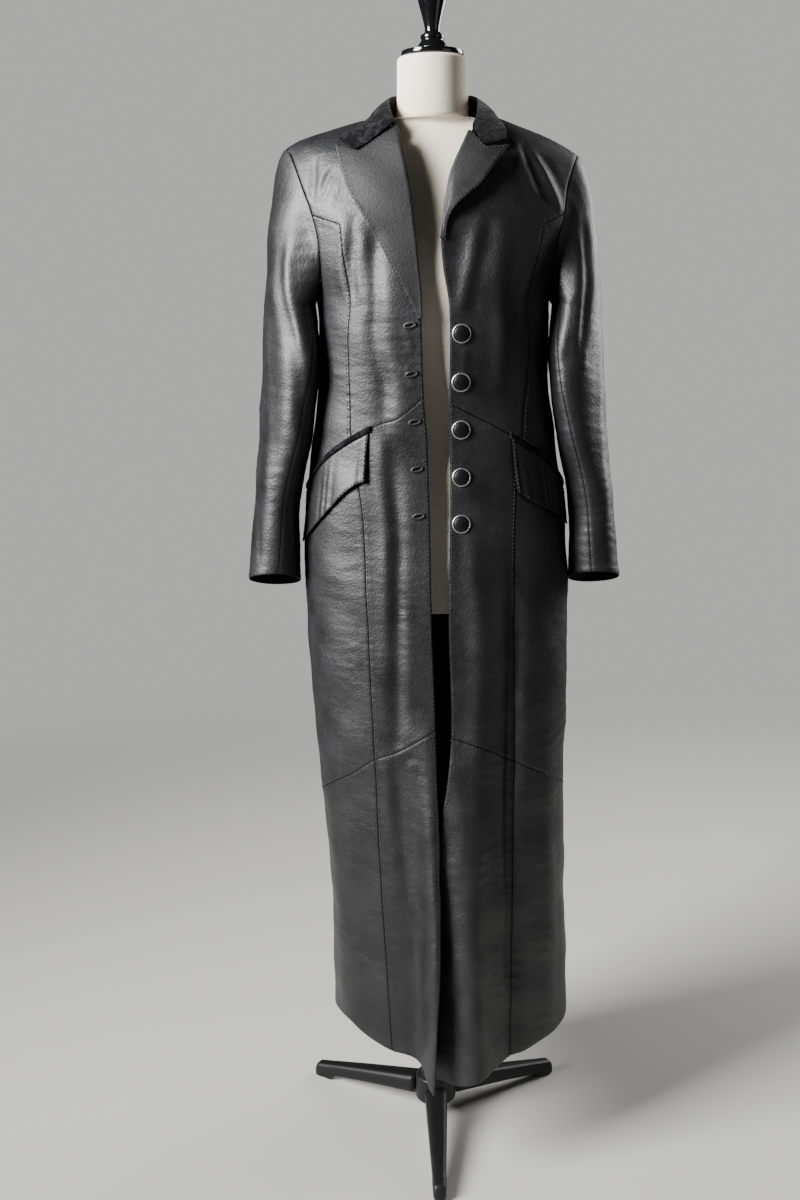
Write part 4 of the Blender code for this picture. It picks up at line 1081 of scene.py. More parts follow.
# Coat body
@dataclass
class CoatBody:
    """Outer surface of one side of the coat's body, with its creases."""
    side: Side
    shoulder_round: float = 0.16  # height over which the body rounds into the shoulder line
    squareness: float = 2.25  # 2 is an ellipse, more is boxier
    armpit_height: float = 1.366
    side_seam: float = 92.0
    centre_back: float = 180.0
    neck_point: float = 16.0  # angle where the shoulder line meets the neck
    shoulder_tip: float = 62.0  # angle where the shoulder line meets the sleeve
    back_neck_height: float = 1.622
    yoke_inner_height: float = 1.47
    yoke_share: float = 4.0 / 6.0  # share of the armhole below the yoke seam
    back_swing_share: float = 0.25  # share over which the back armhole leaves the side seam
    seam_rounds: int = 10  # rounds in which a seam settles on its place
    first_angle: float = 30.0  # where a crossing is first looked for
    probe: tuple[float, float] = (0.1, 0.01)  # degrees and drop between points that give a direction
    sections: tuple[Section, ...] = table(
        Section, (1.66, 0.25, 0.125, 0.125, 0), (1.58, 0.24, 0.122, 0.12, 0),
        (1.5, 0.22, 0.122, 0.116, 0), (1.43, 0.196, 0.128, 0.112, 0),
        (1.37, 0.175, 0.134, 0.108, 0), (1.3, 0.173, 0.132, 0.102, 0),
        (1.22, 0.176, 0.126, 0.098, 0), (1.14, 0.188, 0.124, 0.106, 0),
        (1.05, 0.199, 0.128, 0.124, 0.002), (0.95, 0.205, 0.134, 0.138, 0.003),
        (0.82, 0.204, 0.14, 0.146, 0.006), (0.6, 0.195, 0.146, 0.152, 0.013),
        (0.4, 0.191, 0.152, 0.158, 0.022), (0.13, 0.196, 0.162, 0.166, 0.027))
    shoulder_rows: tuple[Level, ...] = table(
        Level, (0, 1.648, 1.648), (16, 1.627, 1.627), (62, 1.584, 1.57), (90, 1.56, 1.548))
    waist_rows: tuple[Level, ...] = table(
        Level, (0, 1.24, 1.226), (14.5, 1.199, 1.203), (24, 1.189, 1.188), (41, 1.164, 1.16),
        (55, 1.141, 1.14), (75, 1.1, 1.102), (92, 1.078, 1.078), (130, 1.1, 1.1),
        (180, 1.13, 1.13))
    knee_rows: tuple[Level, ...] = table(
        Level, (0, 0.737, 0.725), (16, 0.7, 0.702), (29, 0.682, 0.68), (45, 0.651, 0.655),
        (80, 0.605, 0.613), (92, 0.6, 0.605), (180, 0.62, 0.62))
    hem_rows: tuple[Level, ...] = table(
        Level, (0, 0.152, 0.165), (8, 0.162, 0.18), (12, 0.186, 0.184), (18, 0.197, 0.186),
        (28, 0.201, 0.193), (45, 0.217, 0.207), (58, 0.23, 0.212), (75, 0.226, 0.213),
        (92, 0.216, 0.212), (135, 0.19, 0.19), (180, 0.172, 0.172))
    opening_rows: tuple[Upright, ...] = table(
        Upright, (1.628, 16.2, 16.2), (1.602, 10.8, 11), (1.57, 9.6, 7.5), (1.54, 8.5, 4.8),
        (1.51, 7.6, 3.4), (1.455, 6.7, 1.6), (1.41, 6.1, 2.3), (1.365, 5.4, 4.5), (1.31, 5, 5.2),
        (1.23, 4.2, 4.9), (1.165, 2.7, 4.9), (1.05, 2.2, 4), (0.9, 2.1, 2.8), (0.72, 2, 2.4),
        (0.53, 2.3, -3.2), (0.4, 3.4, -4.5), (0.3, 4.6, -5.9), (0.13, 7, -8.3))
    princess_rows: tuple[Upright, ...] = table(
        Upright, (1.47, 37, 46), (1.38, 41.5, 48), (1.295, 44.5, 51), (1.177, 40.4, 42),
        (1.07, 31.5, 33.5), (0.91, 28.6, 31.6), (0.68, 29, 31.6), (0.45, 30.8, 29),
        (0.15, 27, 24.5))
    armhole_rows: tuple[Upright, ...] = table(
        Upright, (1.374, 77, 80), (1.396, 63, 69), (1.436, 55, 62), (1.484, 52.5, 58.5),
        (1.535, 55, 57))
    folds: tuple[Fold, ...] = table(
        Fold, (Side.RIGHT, 4, 0.76, 7, -0.45, 5.5, 0.048),
        (Side.RIGHT, 60, 0.9, 58, 0, 12, 0.005),
        (Side.LEFT, 33, 1.06, 23, -0.05, 4.2, -0.009), (Side.LEFT, 5, 0.76, 8, -0.45, 9, 0.042),
        (Side.LEFT, 52, 0.8, 50, 0, 9, 0.006), (None, 115, 1.02, 118, -0.2, 9, -0.009),
        (None, 148, 1.06, 146, -0.2, 10, 0.009), (None, 132, 1.33, 140, 1.02, 7, -0.005))

    def __post_init__(self) -> None:
        """Read the tables of this side and lay the creases."""
        self.sign = self.side.value
        self.half_width, self.front, self.back, self.shift = (
            column(self.sections, name) for name in ("half_width", "front", "back", "shift"))
        word = self.side.word
        self.shoulder = column(self.shoulder_rows, word)
        self.waist, self.knee, self.hem = (
            column(rows, word) for rows in (self.waist_rows, self.knee_rows, self.hem_rows))
        self.opening, self.princess = (
            column(rows, word) for rows in (self.opening_rows, self.princess_rows))
        self.hide = HideRelief(seed=11 + self.sign)
        self.creases = Creases(BODY_CREASES[self.side] + BACK_CREASES[self.side],
                               lambda angle, height: self.bare(angle, self.drop_at(angle, height)))

    def shoulder_height(self, angle: Array) -> Array:
        """Height of the shoulder line above a place on the body."""
        angle = np.asarray(angle, dtype=float)
        return self.shoulder(np.where(angle > 90.0, self.centre_back - angle, angle))

    def drop_at(self, angle: Array, height: Array) -> Array:
        """Drop of a place that is given by its height."""
        return np.sqrt(np.maximum(self.shoulder_height(angle) - height, 0.0) / self.shoulder_round)

    def spot(self, angle: Array, height: Array) -> Array:
        """Angle and drop of a place that is given by its height."""
        angle, height = np.broadcast_arrays(np.asarray(angle, dtype=float), height)
        return np.stack((angle, self.drop_at(angle, height)), axis=-1)

    def bare(self, angle: Array, drop: Array) -> Array:
        """Points of the surface with its long folds only.

        Args:
            angle: Angles round the body.
            drop: Drops below the shoulder line.

        Returns:
            Points, measured from the stand's axis.
        """
        angle, drop = np.broadcast_arrays(np.asarray(angle, dtype=float), drop)
        height = self.shoulder_height(angle) - self.shoulder_round * drop * drop
        sine, cosine = np.sin(np.radians(angle)), np.cos(np.radians(angle))
        power = 2.0 / self.squareness
        depth = np.where(cosine > 0, self.front(height), self.back(height))
        rounding = np.where(drop < 1.0, drop * np.sqrt(np.maximum(2.0 - drop * drop, 0.0)), 1.0)
        rise = np.zeros_like(height)
        for fold in self.folds:
            if fold.side in (None, self.side):
                share = np.clip((height - fold.top) / (fold.low - fold.top), 0.0, 1.0)
                offset = (angle - blend(fold.top_angle, fold.low_angle, share)) / fold.spread
                rise += fold.rise * np.sin(np.pi * share) * np.exp(-offset * offset)
        rise = rise * rounding
        x = self.sign * self.half_width(height) * np.sign(sine) * np.abs(sine) ** power + self.shift(height)
        y = -depth * np.sign(cosine) * np.abs(cosine) ** power * rounding
        return np.stack((x + self.sign * sine * rise, y - cosine * rise, height), axis=-1)

    def normal(self, angle: Array, drop: Array) -> Array:
        """Outward directions of the bare surface.

        Args:
            angle: Angles.
            drop: Drops.

        Returns:
            Unit vectors.
        """
        degrees, step = self.probe
        low = np.maximum(drop, step)
        round_body = self.bare(angle + degrees, low) - self.bare(angle - degrees, low)
        down_body = self.bare(angle, low + step) - self.bare(angle, low - step)
        return unit(np.cross(down_body, round_body) * self.sign)

    def place(self, spots: Array, lift: Any = 0.0) -> Array:
        """Points at a height above the creased surface.

        Args:
            spots: Angles and drops.
            lift: Height above the surface, in metres.

        Returns:
            Points, measured from the stand's axis.
        """
        angle, drop = spots[..., 0], np.maximum(spots[..., 1], 0.0)
        points = self.bare(angle, drop)
        rise = self.creases(points) + self.hide(points)
        return points + self.normal(angle, drop) * np.asarray(rise + lift)[..., None]

    def upright(self, curve: Curve, low: float, high: float) -> Seam:
        """Seam that runs up the body in even drops.

        Args:
            curve: Its angle at each height.
            low: Lower end.
            high: Upper end.

        Returns:
            The seam.
        """
        ends = [self.drop_at(curve(height), height) for height in (low, high)]

        def place(share: Array) -> Array:
            """Places at shares from low to high.

            Args:
                share: Shares.

            Returns:
                The places.
            """
            share = np.asarray(share, dtype=float)
            drop, height = blend(ends[0], ends[1], share), blend(low, high, share)
            for _ in range(self.seam_rounds):
                angle = curve(height)
                height = self.shoulder_height(angle) - self.shoulder_round * drop * drop
            return np.stack((angle, drop), axis=-1)
        return place

    def fixed(self, angle: float, low: float, high: float) -> Seam:
        """Seam at one angle."""
        return lambda share: self.spot(angle, blend(low, high, np.asarray(share)))

    def level(self, curve: Curve, start: float, end: float) -> Seam:
        """Seam that runs round the body between two angles.

        Args:
            curve: Its height at each angle.
            start: First angle.
            end: Last angle.

        Returns:
            The seam.
        """
        def place(share: Array) -> Array:
            """Places at shares from start to end."""
            angle = blend(start, end, np.asarray(share))
            return self.spot(angle, curve(angle))
        return place

    def crossing(self, upright: Curve, level: Curve) -> Spot:
        """Place where an upright seam crosses a level one.

        Args:
            upright: Angle of the one.
            level: Height of the other.

        Returns:
            The place.
        """
        height = level(self.first_angle)
        for _ in range(self.seam_rounds):
            angle = upright(height)
            height = level(angle)
        return Spot(float(angle), float(height))

    def armhole(self, share: Array, back: Any = False) -> Array:
        """Places on the armhole.

        Args:
            share: 0 is the armpit, 1 the shoulder tip.
            back: Whether a place is on the back of the armhole.

        Returns:
            Angles and drops.
        """
        angles = [self.side_seam] + [getattr(row, self.side.word) for row in self.armhole_rows]
        heights = [self.armpit_height] + [row.height for row in self.armhole_rows]
        knots = np.concatenate((self.spot(angles, np.array(heights)), ((self.shoulder_tip, 0.0),)))
        front = spline(knots, share)
        swing = smooth(np.asarray(share) / self.back_swing_share)
        behind = blend(self.side_seam, self.centre_back - front[..., 0], swing)
        return np.stack((np.where(back, behind, front[..., 0]), front[..., 1]), axis=-1)

    def armhole_leg(self, start: float, end: float, back: bool = False) -> Seam:
        """Stretch of the armhole between two shares."""
        return lambda share: self.armhole(blend(start, end, np.asarray(share)), back)


BODY_CREASES: dict[Side, tuple[Crease, ...]] = {
    Side.RIGHT: crease_table(
        # chest, below the lapel and the shoulder
        (9, 3.2, (31, 1.49), (36, 1.45), (43, 1.41), (46, 1.36)),
        (10, -3.8, (29.5, 1.492), (32.5, 1.45), (37.5, 1.405), (41, 1.36)),
        (7, 2.4, (28.5, 1.48), (28.5, 1.45), (33, 1.4), (35, 1.36)),
        (6, -1.4, (26.8, 1.475), (30.5, 1.42), (33, 1.37)),
        (8, 3, (25, 1.462), (28, 1.42), (30.5, 1.37), (31, 1.33)),
        (12.5, -7, (20.5, 1.47), (22.5, 1.45), (25.5, 1.405), (27.5, 1.35), (27, 1.3), (22.3, 1.25),
         (21.6, 1.2), (18.7, 1.15)),
        (12, -9, (20, 1.18), (18, 1.12), (15.8, 1.05), (15, 1), (15.3, 0.9), (16, 0.8),
         (17.5, 0.72), (18, 0.69)),
        (20, 4, (19, 1.44), (21, 1.35), (17, 1.25), (12, 1.15)),
        (11, 6.5, (24, 1.185), (21.5, 1.15), (20, 1.1), (18.5, 1.05), (18, 1), (18.5, 0.9),
         (19.5, 0.8)),
        (10, 3, (12, 1), (12, 0.9), (13, 0.8), (14, 0.75)), (5, 1.5, (12, 1.33), (9, 1.29)),
        (5, 1.5, (12, 1.275), (8, 1.24)),
        # below the knee seam
        (9, -4, (18.5, 0.69), (18, 0.55), (17, 0.45)), (10, 3, (24, 0.69), (24, 0.55)),
        (9, 3, (11.5, 0.69), (11.5, 0.6)),
        # shoulder
        (6, -3, (44, 1.565), (45.5, 1.545), (48, 1.52), (50, 1.5)),
        (5, 2.5, (32.5, 1.556), (36.5, 1.551), (40, 1.541), (43, 1.528), (45.5, 1.515)),
        (5, -2, (33, 1.549), (38.5, 1.537), (42, 1.52), (44, 1.505)),
        (5, 2.2, (33.5, 1.541), (37.5, 1.531), (40, 1.52), (42.5, 1.51), (44.5, 1.5)),
        (6, 1.8, (37, 1.581), (39, 1.57), (41, 1.552), (43.5, 1.53)),
        (5, 1.2, (33, 1.53), (37, 1.512), (39.5, 1.495)),
        # fine wrinkles of the skirt
        (4, 0.8, (47, 0.972), (40, 0.977), (32, 0.985)), (4, 0.8, (46, 0.915), (38, 0.917), (31, 0.918)),
        (4, 0.8, (46, 0.9), (39, 0.893), (33, 0.886)), (4, 0.8, (40, 0.853), (31, 0.865)),
        (4, 0.8, (41, 0.835), (33, 0.845)), (4, 0.8, (40, 0.822), (32, 0.838)),
    ),
    Side.LEFT: crease_table(
        # chest, below the lapel
        (9, 4, (15.2, 1.505), (15, 1.468), (14, 1.44), (13, 1.41), (11.5, 1.385), (10.3, 1.36),
         (8.5, 1.335)),
        (10, -4, (18, 1.485), (17.5, 1.43), (16, 1.375), (15, 1.34)),
        (14, -5, (7, 1.47), (8, 1.43), (7.5, 1.39), (7, 1.36)),
        (11, 6, (22.5, 1.487), (25.3, 1.45), (26.5, 1.41), (28, 1.37), (29.5, 1.33), (30, 1.3),
         (29, 1.25), (29, 1.21)),
        (6, 2, (44, 1.41), (45, 1.36), (46, 1.31)), (6, 2, (12, 1.3), (11, 1.24)),
        # shoulder
        (6, 5, (30, 1.58), (36, 1.557), (44, 1.525), (51, 1.5), (55.5, 1.482)),
        (7, 3.5, (25, 1.59), (28.5, 1.557), (33, 1.525), (37, 1.503)),
        (7, -4, (28.5, 1.585), (34, 1.552), (40, 1.52), (46, 1.495)),
        (6, -2, (37, 1.568), (46, 1.54), (54, 1.51)),
        # skirt
        (14, 8, (13, 1.08), (12.5, 1), (14, 0.9), (14, 0.8), (12.5, 0.7), (12, 0.6),
         (10.5, 0.5), (9, 0.4)),
        (12, -6, (30, 1.04), (31, 0.9), (31, 0.8), (30, 0.7), (30, 0.6), (31, 0.5)),
    ),
}
BACK_CREASES: dict[Side, tuple[Crease, ...]] = {
    Side.RIGHT: crease_table(
        (9, -4, (122, 1.52), (134, 1.455), (150, 1.4), (164, 1.35)),
        (8, 3.5, (120, 1.48), (130, 1.42), (143, 1.365), (155, 1.32)),
        (7, -3, (104, 1.35), (114, 1.29), (126, 1.24), (136, 1.2)),
        (8, 3, (100, 1.3), (112, 1.245), (124, 1.19)),
        (6, 2.5, (112, 1.18), (128, 1.165), (146, 1.172), (164, 1.185)),
        (6, -2.5, (108, 1.155), (126, 1.145), (148, 1.15)),
        (12, 5, (128, 1.06), (130, 0.9), (127, 0.76), (129, 0.64)),
        (12, -5, (164, 1.04), (161, 0.88), (163, 0.7), (160, 0.48), (162, 0.3)),
        (10, 4, (104, 0.98), (106, 0.82), (103, 0.66)), (5, 1.2, (112, 0.92), (124, 0.928), (138, 0.915)),
        (5, 1, (118, 0.84), (132, 0.85), (144, 0.842)),
    ),
    Side.LEFT: crease_table(
        (9, -4, (120, 1.505), (136, 1.44), (152, 1.39), (166, 1.345)),
        (7, 3, (124, 1.47), (134, 1.405), (148, 1.35), (160, 1.3)),
        (7, -3, (102, 1.34), (116, 1.28), (130, 1.235), (142, 1.205)),
        (9, 3.5, (99, 1.29), (110, 1.23), (121, 1.18)),
        (6, 2.5, (116, 1.186), (134, 1.168), (152, 1.176)),
        (6, -2, (106, 1.15), (122, 1.138), (142, 1.146), (160, 1.16)),
        (13, 5, (126, 1.05), (128, 0.88), (131, 0.74), (128, 0.66)),
        (12, -5, (162, 1.03), (164, 0.86), (160, 0.68), (163, 0.46), (161, 0.28)),
        (9, 4, (106, 0.96), (103, 0.8), (106, 0.64)), (5, 1.2, (110, 0.9), (126, 0.905), (140, 0.896)),
    ),
}
SLEEVE_CREASES: dict[Side, tuple[Crease, ...]] = {
    Side.RIGHT: crease_table(
        (13, -8, (50, 0.12), (60, 0.185), (77, 0.255), (93, 0.335), (106, 0.42),
         (118, 0.5), (130, 0.57), (142, 0.66)),
        (9, 4, (70, 0.16), (88, 0.24), (105, 0.33), (119, 0.42)),
        (12, 4, (30, 0.3), (48, 0.46), (62, 0.66), (70, 0.86)),
        (5, -1.5, (50, 0.85), (54, 0.91), (58, 0.97)), (7, -3, (300, 0.22), (280, 0.34), (262, 0.47)),
        (8, 3, (318, 0.3), (296, 0.43), (276, 0.56)), (6, -2, (262, 0.52), (284, 0.57), (302, 0.6)),
        (6, 1.6, (330, 0.52), (350, 0.55), (368, 0.56)),
    ),
    Side.LEFT: crease_table(
        (9, -7, (58, 0.1), (64, 0.15), (70, 0.2), (78, 0.28), (84, 0.36), (90, 0.44)),
        (7, 2.6, (70, 0.25), (76, 0.32), (82, 0.4), (88, 0.48)),
        (8, 3.4, (96, 0.17), (100, 0.25), (101, 0.33), (103, 0.42)),
        (9, -3.6, (112, 0.27), (114, 0.36), (118, 0.46)), (8, 2.4, (118, 0.22), (121, 0.32), (124, 0.42)),
        (12, 4, (34, 0.34), (50, 0.52), (60, 0.72), (64, 0.9)),
        (7, -3, (296, 0.2), (278, 0.33), (264, 0.46)), (8, 3, (322, 0.28), (300, 0.42), (272, 0.55)),
        (6, -2, (258, 0.54), (280, 0.58), (300, 0.62)),
    ),
}


@dataclass
class BodyPanels:
    """Fronts, side fronts and backs of one side, in three tiers."""
    body: CoatBody
    princess_rows: int = 9
    side_rows: int = 4
    yoke_rows: int = 3
    armhole_rows: int = 5
    shoulder_columns: int = 5
    back_neck_columns: int = 3
    front_step: float = 0.0036
    back_step: float = 0.0052
    panels: dict[str, ClothPanel] = field(default_factory=dict)
    sewn = {
        "front_chest": (Edge.START,), "side_chest": (Edge.HIGH, Edge.START),
        "front_skirt": (Edge.START, Edge.HIGH, Edge.END), "front_hem": (Edge.START, Edge.HIGH, Edge.END),
        "side_hem": (Edge.HIGH,), "back_chest": (Edge.END,), "back_skirt": (Edge.HIGH, Edge.END),
        "back_hem": (Edge.HIGH, Edge.END)}

    def add(self, kind: str, shape: Surface, step: float) -> None:
        """Add a panel of the body.

        Args:
            kind: Its name without the side.
            shape: Places from shares across and up.
            step: Distance between the points of its grid.
        """
        name = f"{kind}_{self.body.side.word}"
        self.panels[kind] = ClothPanel(name, lambda across, up: self.body.place(shape(across, up)),
                                       self.body.sign, step)

    def cut_fronts(self) -> None:
        """Cut the centre fronts and the side fronts."""
        body = self.body
        levels = (body.waist, body.knee, body.hem)
        fronts = [body.crossing(body.opening, level) for level in levels]
        middles = [body.crossing(body.princess, level) for level in levels]
        sides = [float(level(body.side_seam)) for level in levels]
        inner = body.yoke_inner_height
        princess = body.upright(body.princess, middles[0].height, inner)
        yoke = straight(body.spot(body.princess(inner), inner), body.armhole(np.array(body.yoke_share)))
        neck = float(body.shoulder_height(body.neck_point))
        self.add("front_chest", patch(
            body.upright(body.opening, fronts[0].height, neck),
            joined((self.princess_rows, princess), (self.yoke_rows, yoke),
                   (self.armhole_rows, body.armhole_leg(body.yoke_share, 1.0))),
            body.level(body.waist, fronts[0].angle, middles[0].angle),
            straight((body.neck_point, 0.0), (body.shoulder_tip, 0.0))), self.front_step)
        self.add("side_chest", patch(
            princess,
            joined((self.side_rows, body.fixed(body.side_seam, sides[0], body.armpit_height)),
                   (self.armhole_rows, body.armhole_leg(0.0, body.yoke_share))),
            body.level(body.waist, middles[0].angle, body.side_seam), yoke), self.front_step)
        for k, tier in enumerate(("skirt", "hem")):
            front_seam = body.upright(body.opening, fronts[k + 1].height, fronts[k].height)
            middle_seam = body.upright(body.princess, middles[k + 1].height, middles[k].height)
            self.add(f"front_{tier}", patch(
                front_seam, middle_seam,
                body.level(levels[k + 1], fronts[k + 1].angle, middles[k + 1].angle),
                body.level(levels[k], fronts[k].angle, middles[k].angle)), self.front_step)
            self.add(f"side_{tier}", patch(
                middle_seam, body.fixed(body.side_seam, sides[k + 1], sides[k]),
                body.level(levels[k + 1], middles[k + 1].angle, body.side_seam),
                body.level(levels[k], middles[k].angle, body.side_seam)), self.front_step)

    def cut_backs(self) -> None:
        """Cut the back half."""
        body = self.body
        levels = (body.waist, body.knee, body.hem)
        middles = [float(level(body.centre_back)) for level in levels]
        sides = [float(level(body.side_seam)) for level in levels]
        neck = (body.centre_back - body.neck_point, 0.0)
        tip = (body.centre_back - body.shoulder_tip, 0.0)
        self.add("back_chest", patch(
            joined((self.side_rows, body.fixed(body.side_seam, sides[0], body.armpit_height)),
                   (self.armhole_rows, body.armhole_leg(0.0, body.yoke_share, back=True)),
                   (self.armhole_rows, body.armhole_leg(body.yoke_share, 1.0, back=True))),
            body.fixed(body.centre_back, middles[0], body.back_neck_height),
            body.level(body.waist, body.side_seam, body.centre_back),
            joined((self.shoulder_columns, straight(tip, neck)),
                   (self.back_neck_columns,
                    straight(neck, body.spot(body.centre_back, body.back_neck_height))))), self.back_step)
        for k, tier in enumerate(("skirt", "hem")):
            self.add(f"back_{tier}", patch(
                body.fixed(body.side_seam, sides[k + 1], sides[k]),
                body.fixed(body.centre_back, middles[k + 1], middles[k]),
                body.level(levels[k + 1], body.side_seam, body.centre_back),
                body.level(levels[k], body.side_seam, body.centre_back)), self.back_step)

    def sewing(self) -> list[Array]:
        """Lines of topstitching on the panels."""
        return [panel.line(edge) for kind, panel in self.panels.items() for edge in self.sewn.get(kind, ())]

    def build(self) -> None:
        """Cut all panels and make them."""
        self.cut_fronts()
        self.cut_backs()
        for panel in self.panels.values():
            panel.make("black_nappa", "hung", ["form_torso"])


@dataclass
class Sleeve:
    """Two-piece sleeve of one arm."""
    body: CoatBody
    bicep_height: float = 1.355
    cuff_height: float = 0.943
    cuff_tilt: float = 0.018  # front of the cuff above its middle
    cap_share: float = 0.3  # part of the sleeve's length above the biceps
    cap_leave: float = 0.085  # how far the cap keeps the shoulder's direction
    cap_arrive: float = 0.2  # how far it hangs straight into the sleeve
    under_leave: float = 0.05
    under_arrive: float = 0.03
    under_lean: float = 0.35  # outwards for each metre down
    under_from: float = 0.2  # cosine of the turn where the cap gives way to the underarm
    under_span: float = 0.9
    turn_step: float = 4.0
    open_share: float = 0.003  # share of the length left open at the armhole seam
    relief_share: float = 0.06  # share of the length over which the creases start
    probe: float = 0.004  # share between points that give a direction
    arrive_step: float = 0.01  # height over which the tube's own direction is read
    sewn_inset: int = 5  # grid lines from the cuff to its sewing
    step: float = 0.0038
    rings: tuple[Ring, ...] = table(
        Ring, (1.355, 0.255, 0.176, -0.058, 0.08, -0.04), (1.28, 0.2605, 0.1685, -0.05, 0.084, -0.068),
        (1.17, 0.269, 0.1825, -0.048, 0.08, -0.062), (1.06, 0.277, 0.206, -0.06, 0.058, -0.026),
        (0.943, 0.287, 0.207, -0.076, 0.024, 0))
    seams: tuple[SleeveSeam, ...] = table(
        SleeveSeam, (0, 144, 234), (0.35, 146, 232), (0.65, 124, 226), (1, 104, 222))
    panels: dict[str, ClothPanel] = field(default_factory=dict)

    def __post_init__(self) -> None:
        """Read the tables and lay the creases."""
        self.sign = self.body.sign
        self.outer, self.inner, self.front, self.back, self.swing = (
            column(self.rings, name) for name in ("outer", "inner", "front", "back", "swing"))
        self.front_seam, self.back_seam = (column(self.seams, name) for name in ("front", "back"))
        self.hide = HideRelief(seed=31 + self.sign)
        self.creases = Creases(SLEEVE_CREASES[self.body.side], self.bare)

    def ring(self, turn: Array, height: Array) -> Array:
        """Points of the sleeve's tube.

        Args:
            turn: Turns.
            height: Heights.

        Returns:
            The points.
        """
        cosine, sine = np.cos(np.radians(turn)), np.sin(np.radians(turn))
        outer, inner, front, back = (
            curve(height) for curve in (self.outer, self.inner, self.front, self.back))
        x = (outer + inner) / 2 + (outer - inner) / 2 * cosine
        y = (front + back) / 2 + (front - back) / 2 * sine + self.swing(height) * (1.0 - cosine) / 2
        low = smooth((self.bicep_height - height) / (self.bicep_height - self.cuff_height))
        z = height + self.cuff_tilt * sine * low
        return np.stack(np.broadcast_arrays(self.sign * x, y, z), axis=-1)

    def armhole(self, turn: Array) -> Array:
        """Places of the armhole at turns of the sleeve.

        Args:
            turn: Turns.

        Returns:
            The places.
        """
        turn = np.asarray(turn) % 360.0
        share = np.where(turn <= 180.0, 1.0 - turn / 180.0, turn / 180.0 - 1.0)
        yoke, half = self.body.yoke_share, 0.5
        share = np.where(share <= half, share / half * yoke, yoke + (share - half) / half * (1.0 - yoke))
        return self.body.armhole(share, turn > 180.0)

    def bare(self, turn: Array, share: Array) -> Array:
        """Points of the sleeve without its creases.

        Args:
            turn: Turns round the sleeve.
            share: Shares of its length.

        Returns:
            Points, measured from the stand's axis.
        """
        turn, share = np.broadcast_arrays(np.asarray(turn, dtype=float), share)
        below = np.clip((share - self.cap_share) / (1.0 - self.cap_share), 0.0, 1.0)
        tube = self.ring(turn, blend(self.bicep_height, self.cuff_height, below))
        here = self.armhole(turn)
        start = self.body.place(here)
        seam = (self.body.bare(*np.moveaxis(self.armhole(turn + self.turn_step), -1, 0))
                - self.body.bare(*np.moveaxis(self.armhole(turn - self.turn_step), -1, 0)))
        leave = unit(np.cross(self.body.normal(here[..., 0], here[..., 1]), seam))
        leave = np.where((leave[..., :1] * self.sign) < 0, -leave, leave)
        under = smooth((self.under_from - np.cos(np.radians(turn))) / self.under_span)[..., None]
        downwards = unit(np.array((self.sign * self.under_lean, 0.0, -1.0)))
        leave = blend(leave * self.cap_leave, downwards * self.under_leave, under)
        top = np.full_like(turn, self.bicep_height)
        end = self.ring(turn, top)
        arrive = unit(self.ring(turn, top - self.arrive_step) - end)
        t = np.clip(share / self.cap_share, 0.0, 1.0)[..., None]
        reach = blend(self.cap_arrive, self.under_arrive, under)
        cap = start * ((1 + 2 * t) * (1 - t) ** 2) + leave * (t * (1 - t) ** 2)
        cap = cap + end * (t * t * (3 - 2 * t)) - arrive * (reach * t * t * (1 - t))
        return np.where((share >= self.cap_share)[..., None], tube, cap)

    def place(self, turn: Array, share: Array) -> Array:
        """Points of the creased sleeve.

        Args:
            turn: Turns.
            share: Shares of its length.

        Returns:
            The points.
        """
        step, half = self.probe, self.turn_step / 2
        near = np.clip(share, step, 1.0 - step)
        round_sleeve = self.bare(turn + half, near) - self.bare(turn - half, near)
        down_sleeve = self.bare(turn, near + step) - self.bare(turn, near - step)
        normal = unit(np.cross(round_sleeve, down_sleeve) * self.sign)
        points = self.bare(turn, share)
        rise = (self.creases(points) + self.hide(points)) * smooth(share / self.relief_share)
        return points + normal * rise[..., None]

    def cut(self, kind: str, start: Seam, end: Seam) -> None:
        """Cut one piece of the sleeve.

        Args:
            kind: Its name without the side.
            start: Turn of its first seam at shares of the length.
            end: Turn of its last seam.
        """
        def surface(across: Array, up: Array) -> Array:
            """Points at shares across and up."""
            share = blend(self.open_share, 1.0, 1.0 - up)[:, None]
            turn = blend(start(share), end(share), across[None, :])
            return self.place(turn, np.broadcast_to(share, turn.shape))
        self.panels[kind] = ClothPanel(f"{kind}_{self.body.side.word}", surface, -self.sign, self.step)

    def build(self) -> None:
        """Cut and make the top sleeve and the under sleeve."""
        self.cut("under_sleeve", self.front_seam, self.back_seam)
        self.cut("top_sleeve", self.back_seam, lambda share: self.front_seam(share) + 360.0)
        for panel in self.panels.values():
            panel.make("black_nappa", "hung", ["form_torso"])

    def sewing(self) -> list[Array]:
        """Lines of topstitching round the cuff."""
        return [self.panels[kind].line(Edge.LOW, self.sewn_inset)
                for kind in ("top_sleeve", "under_sleeve")]


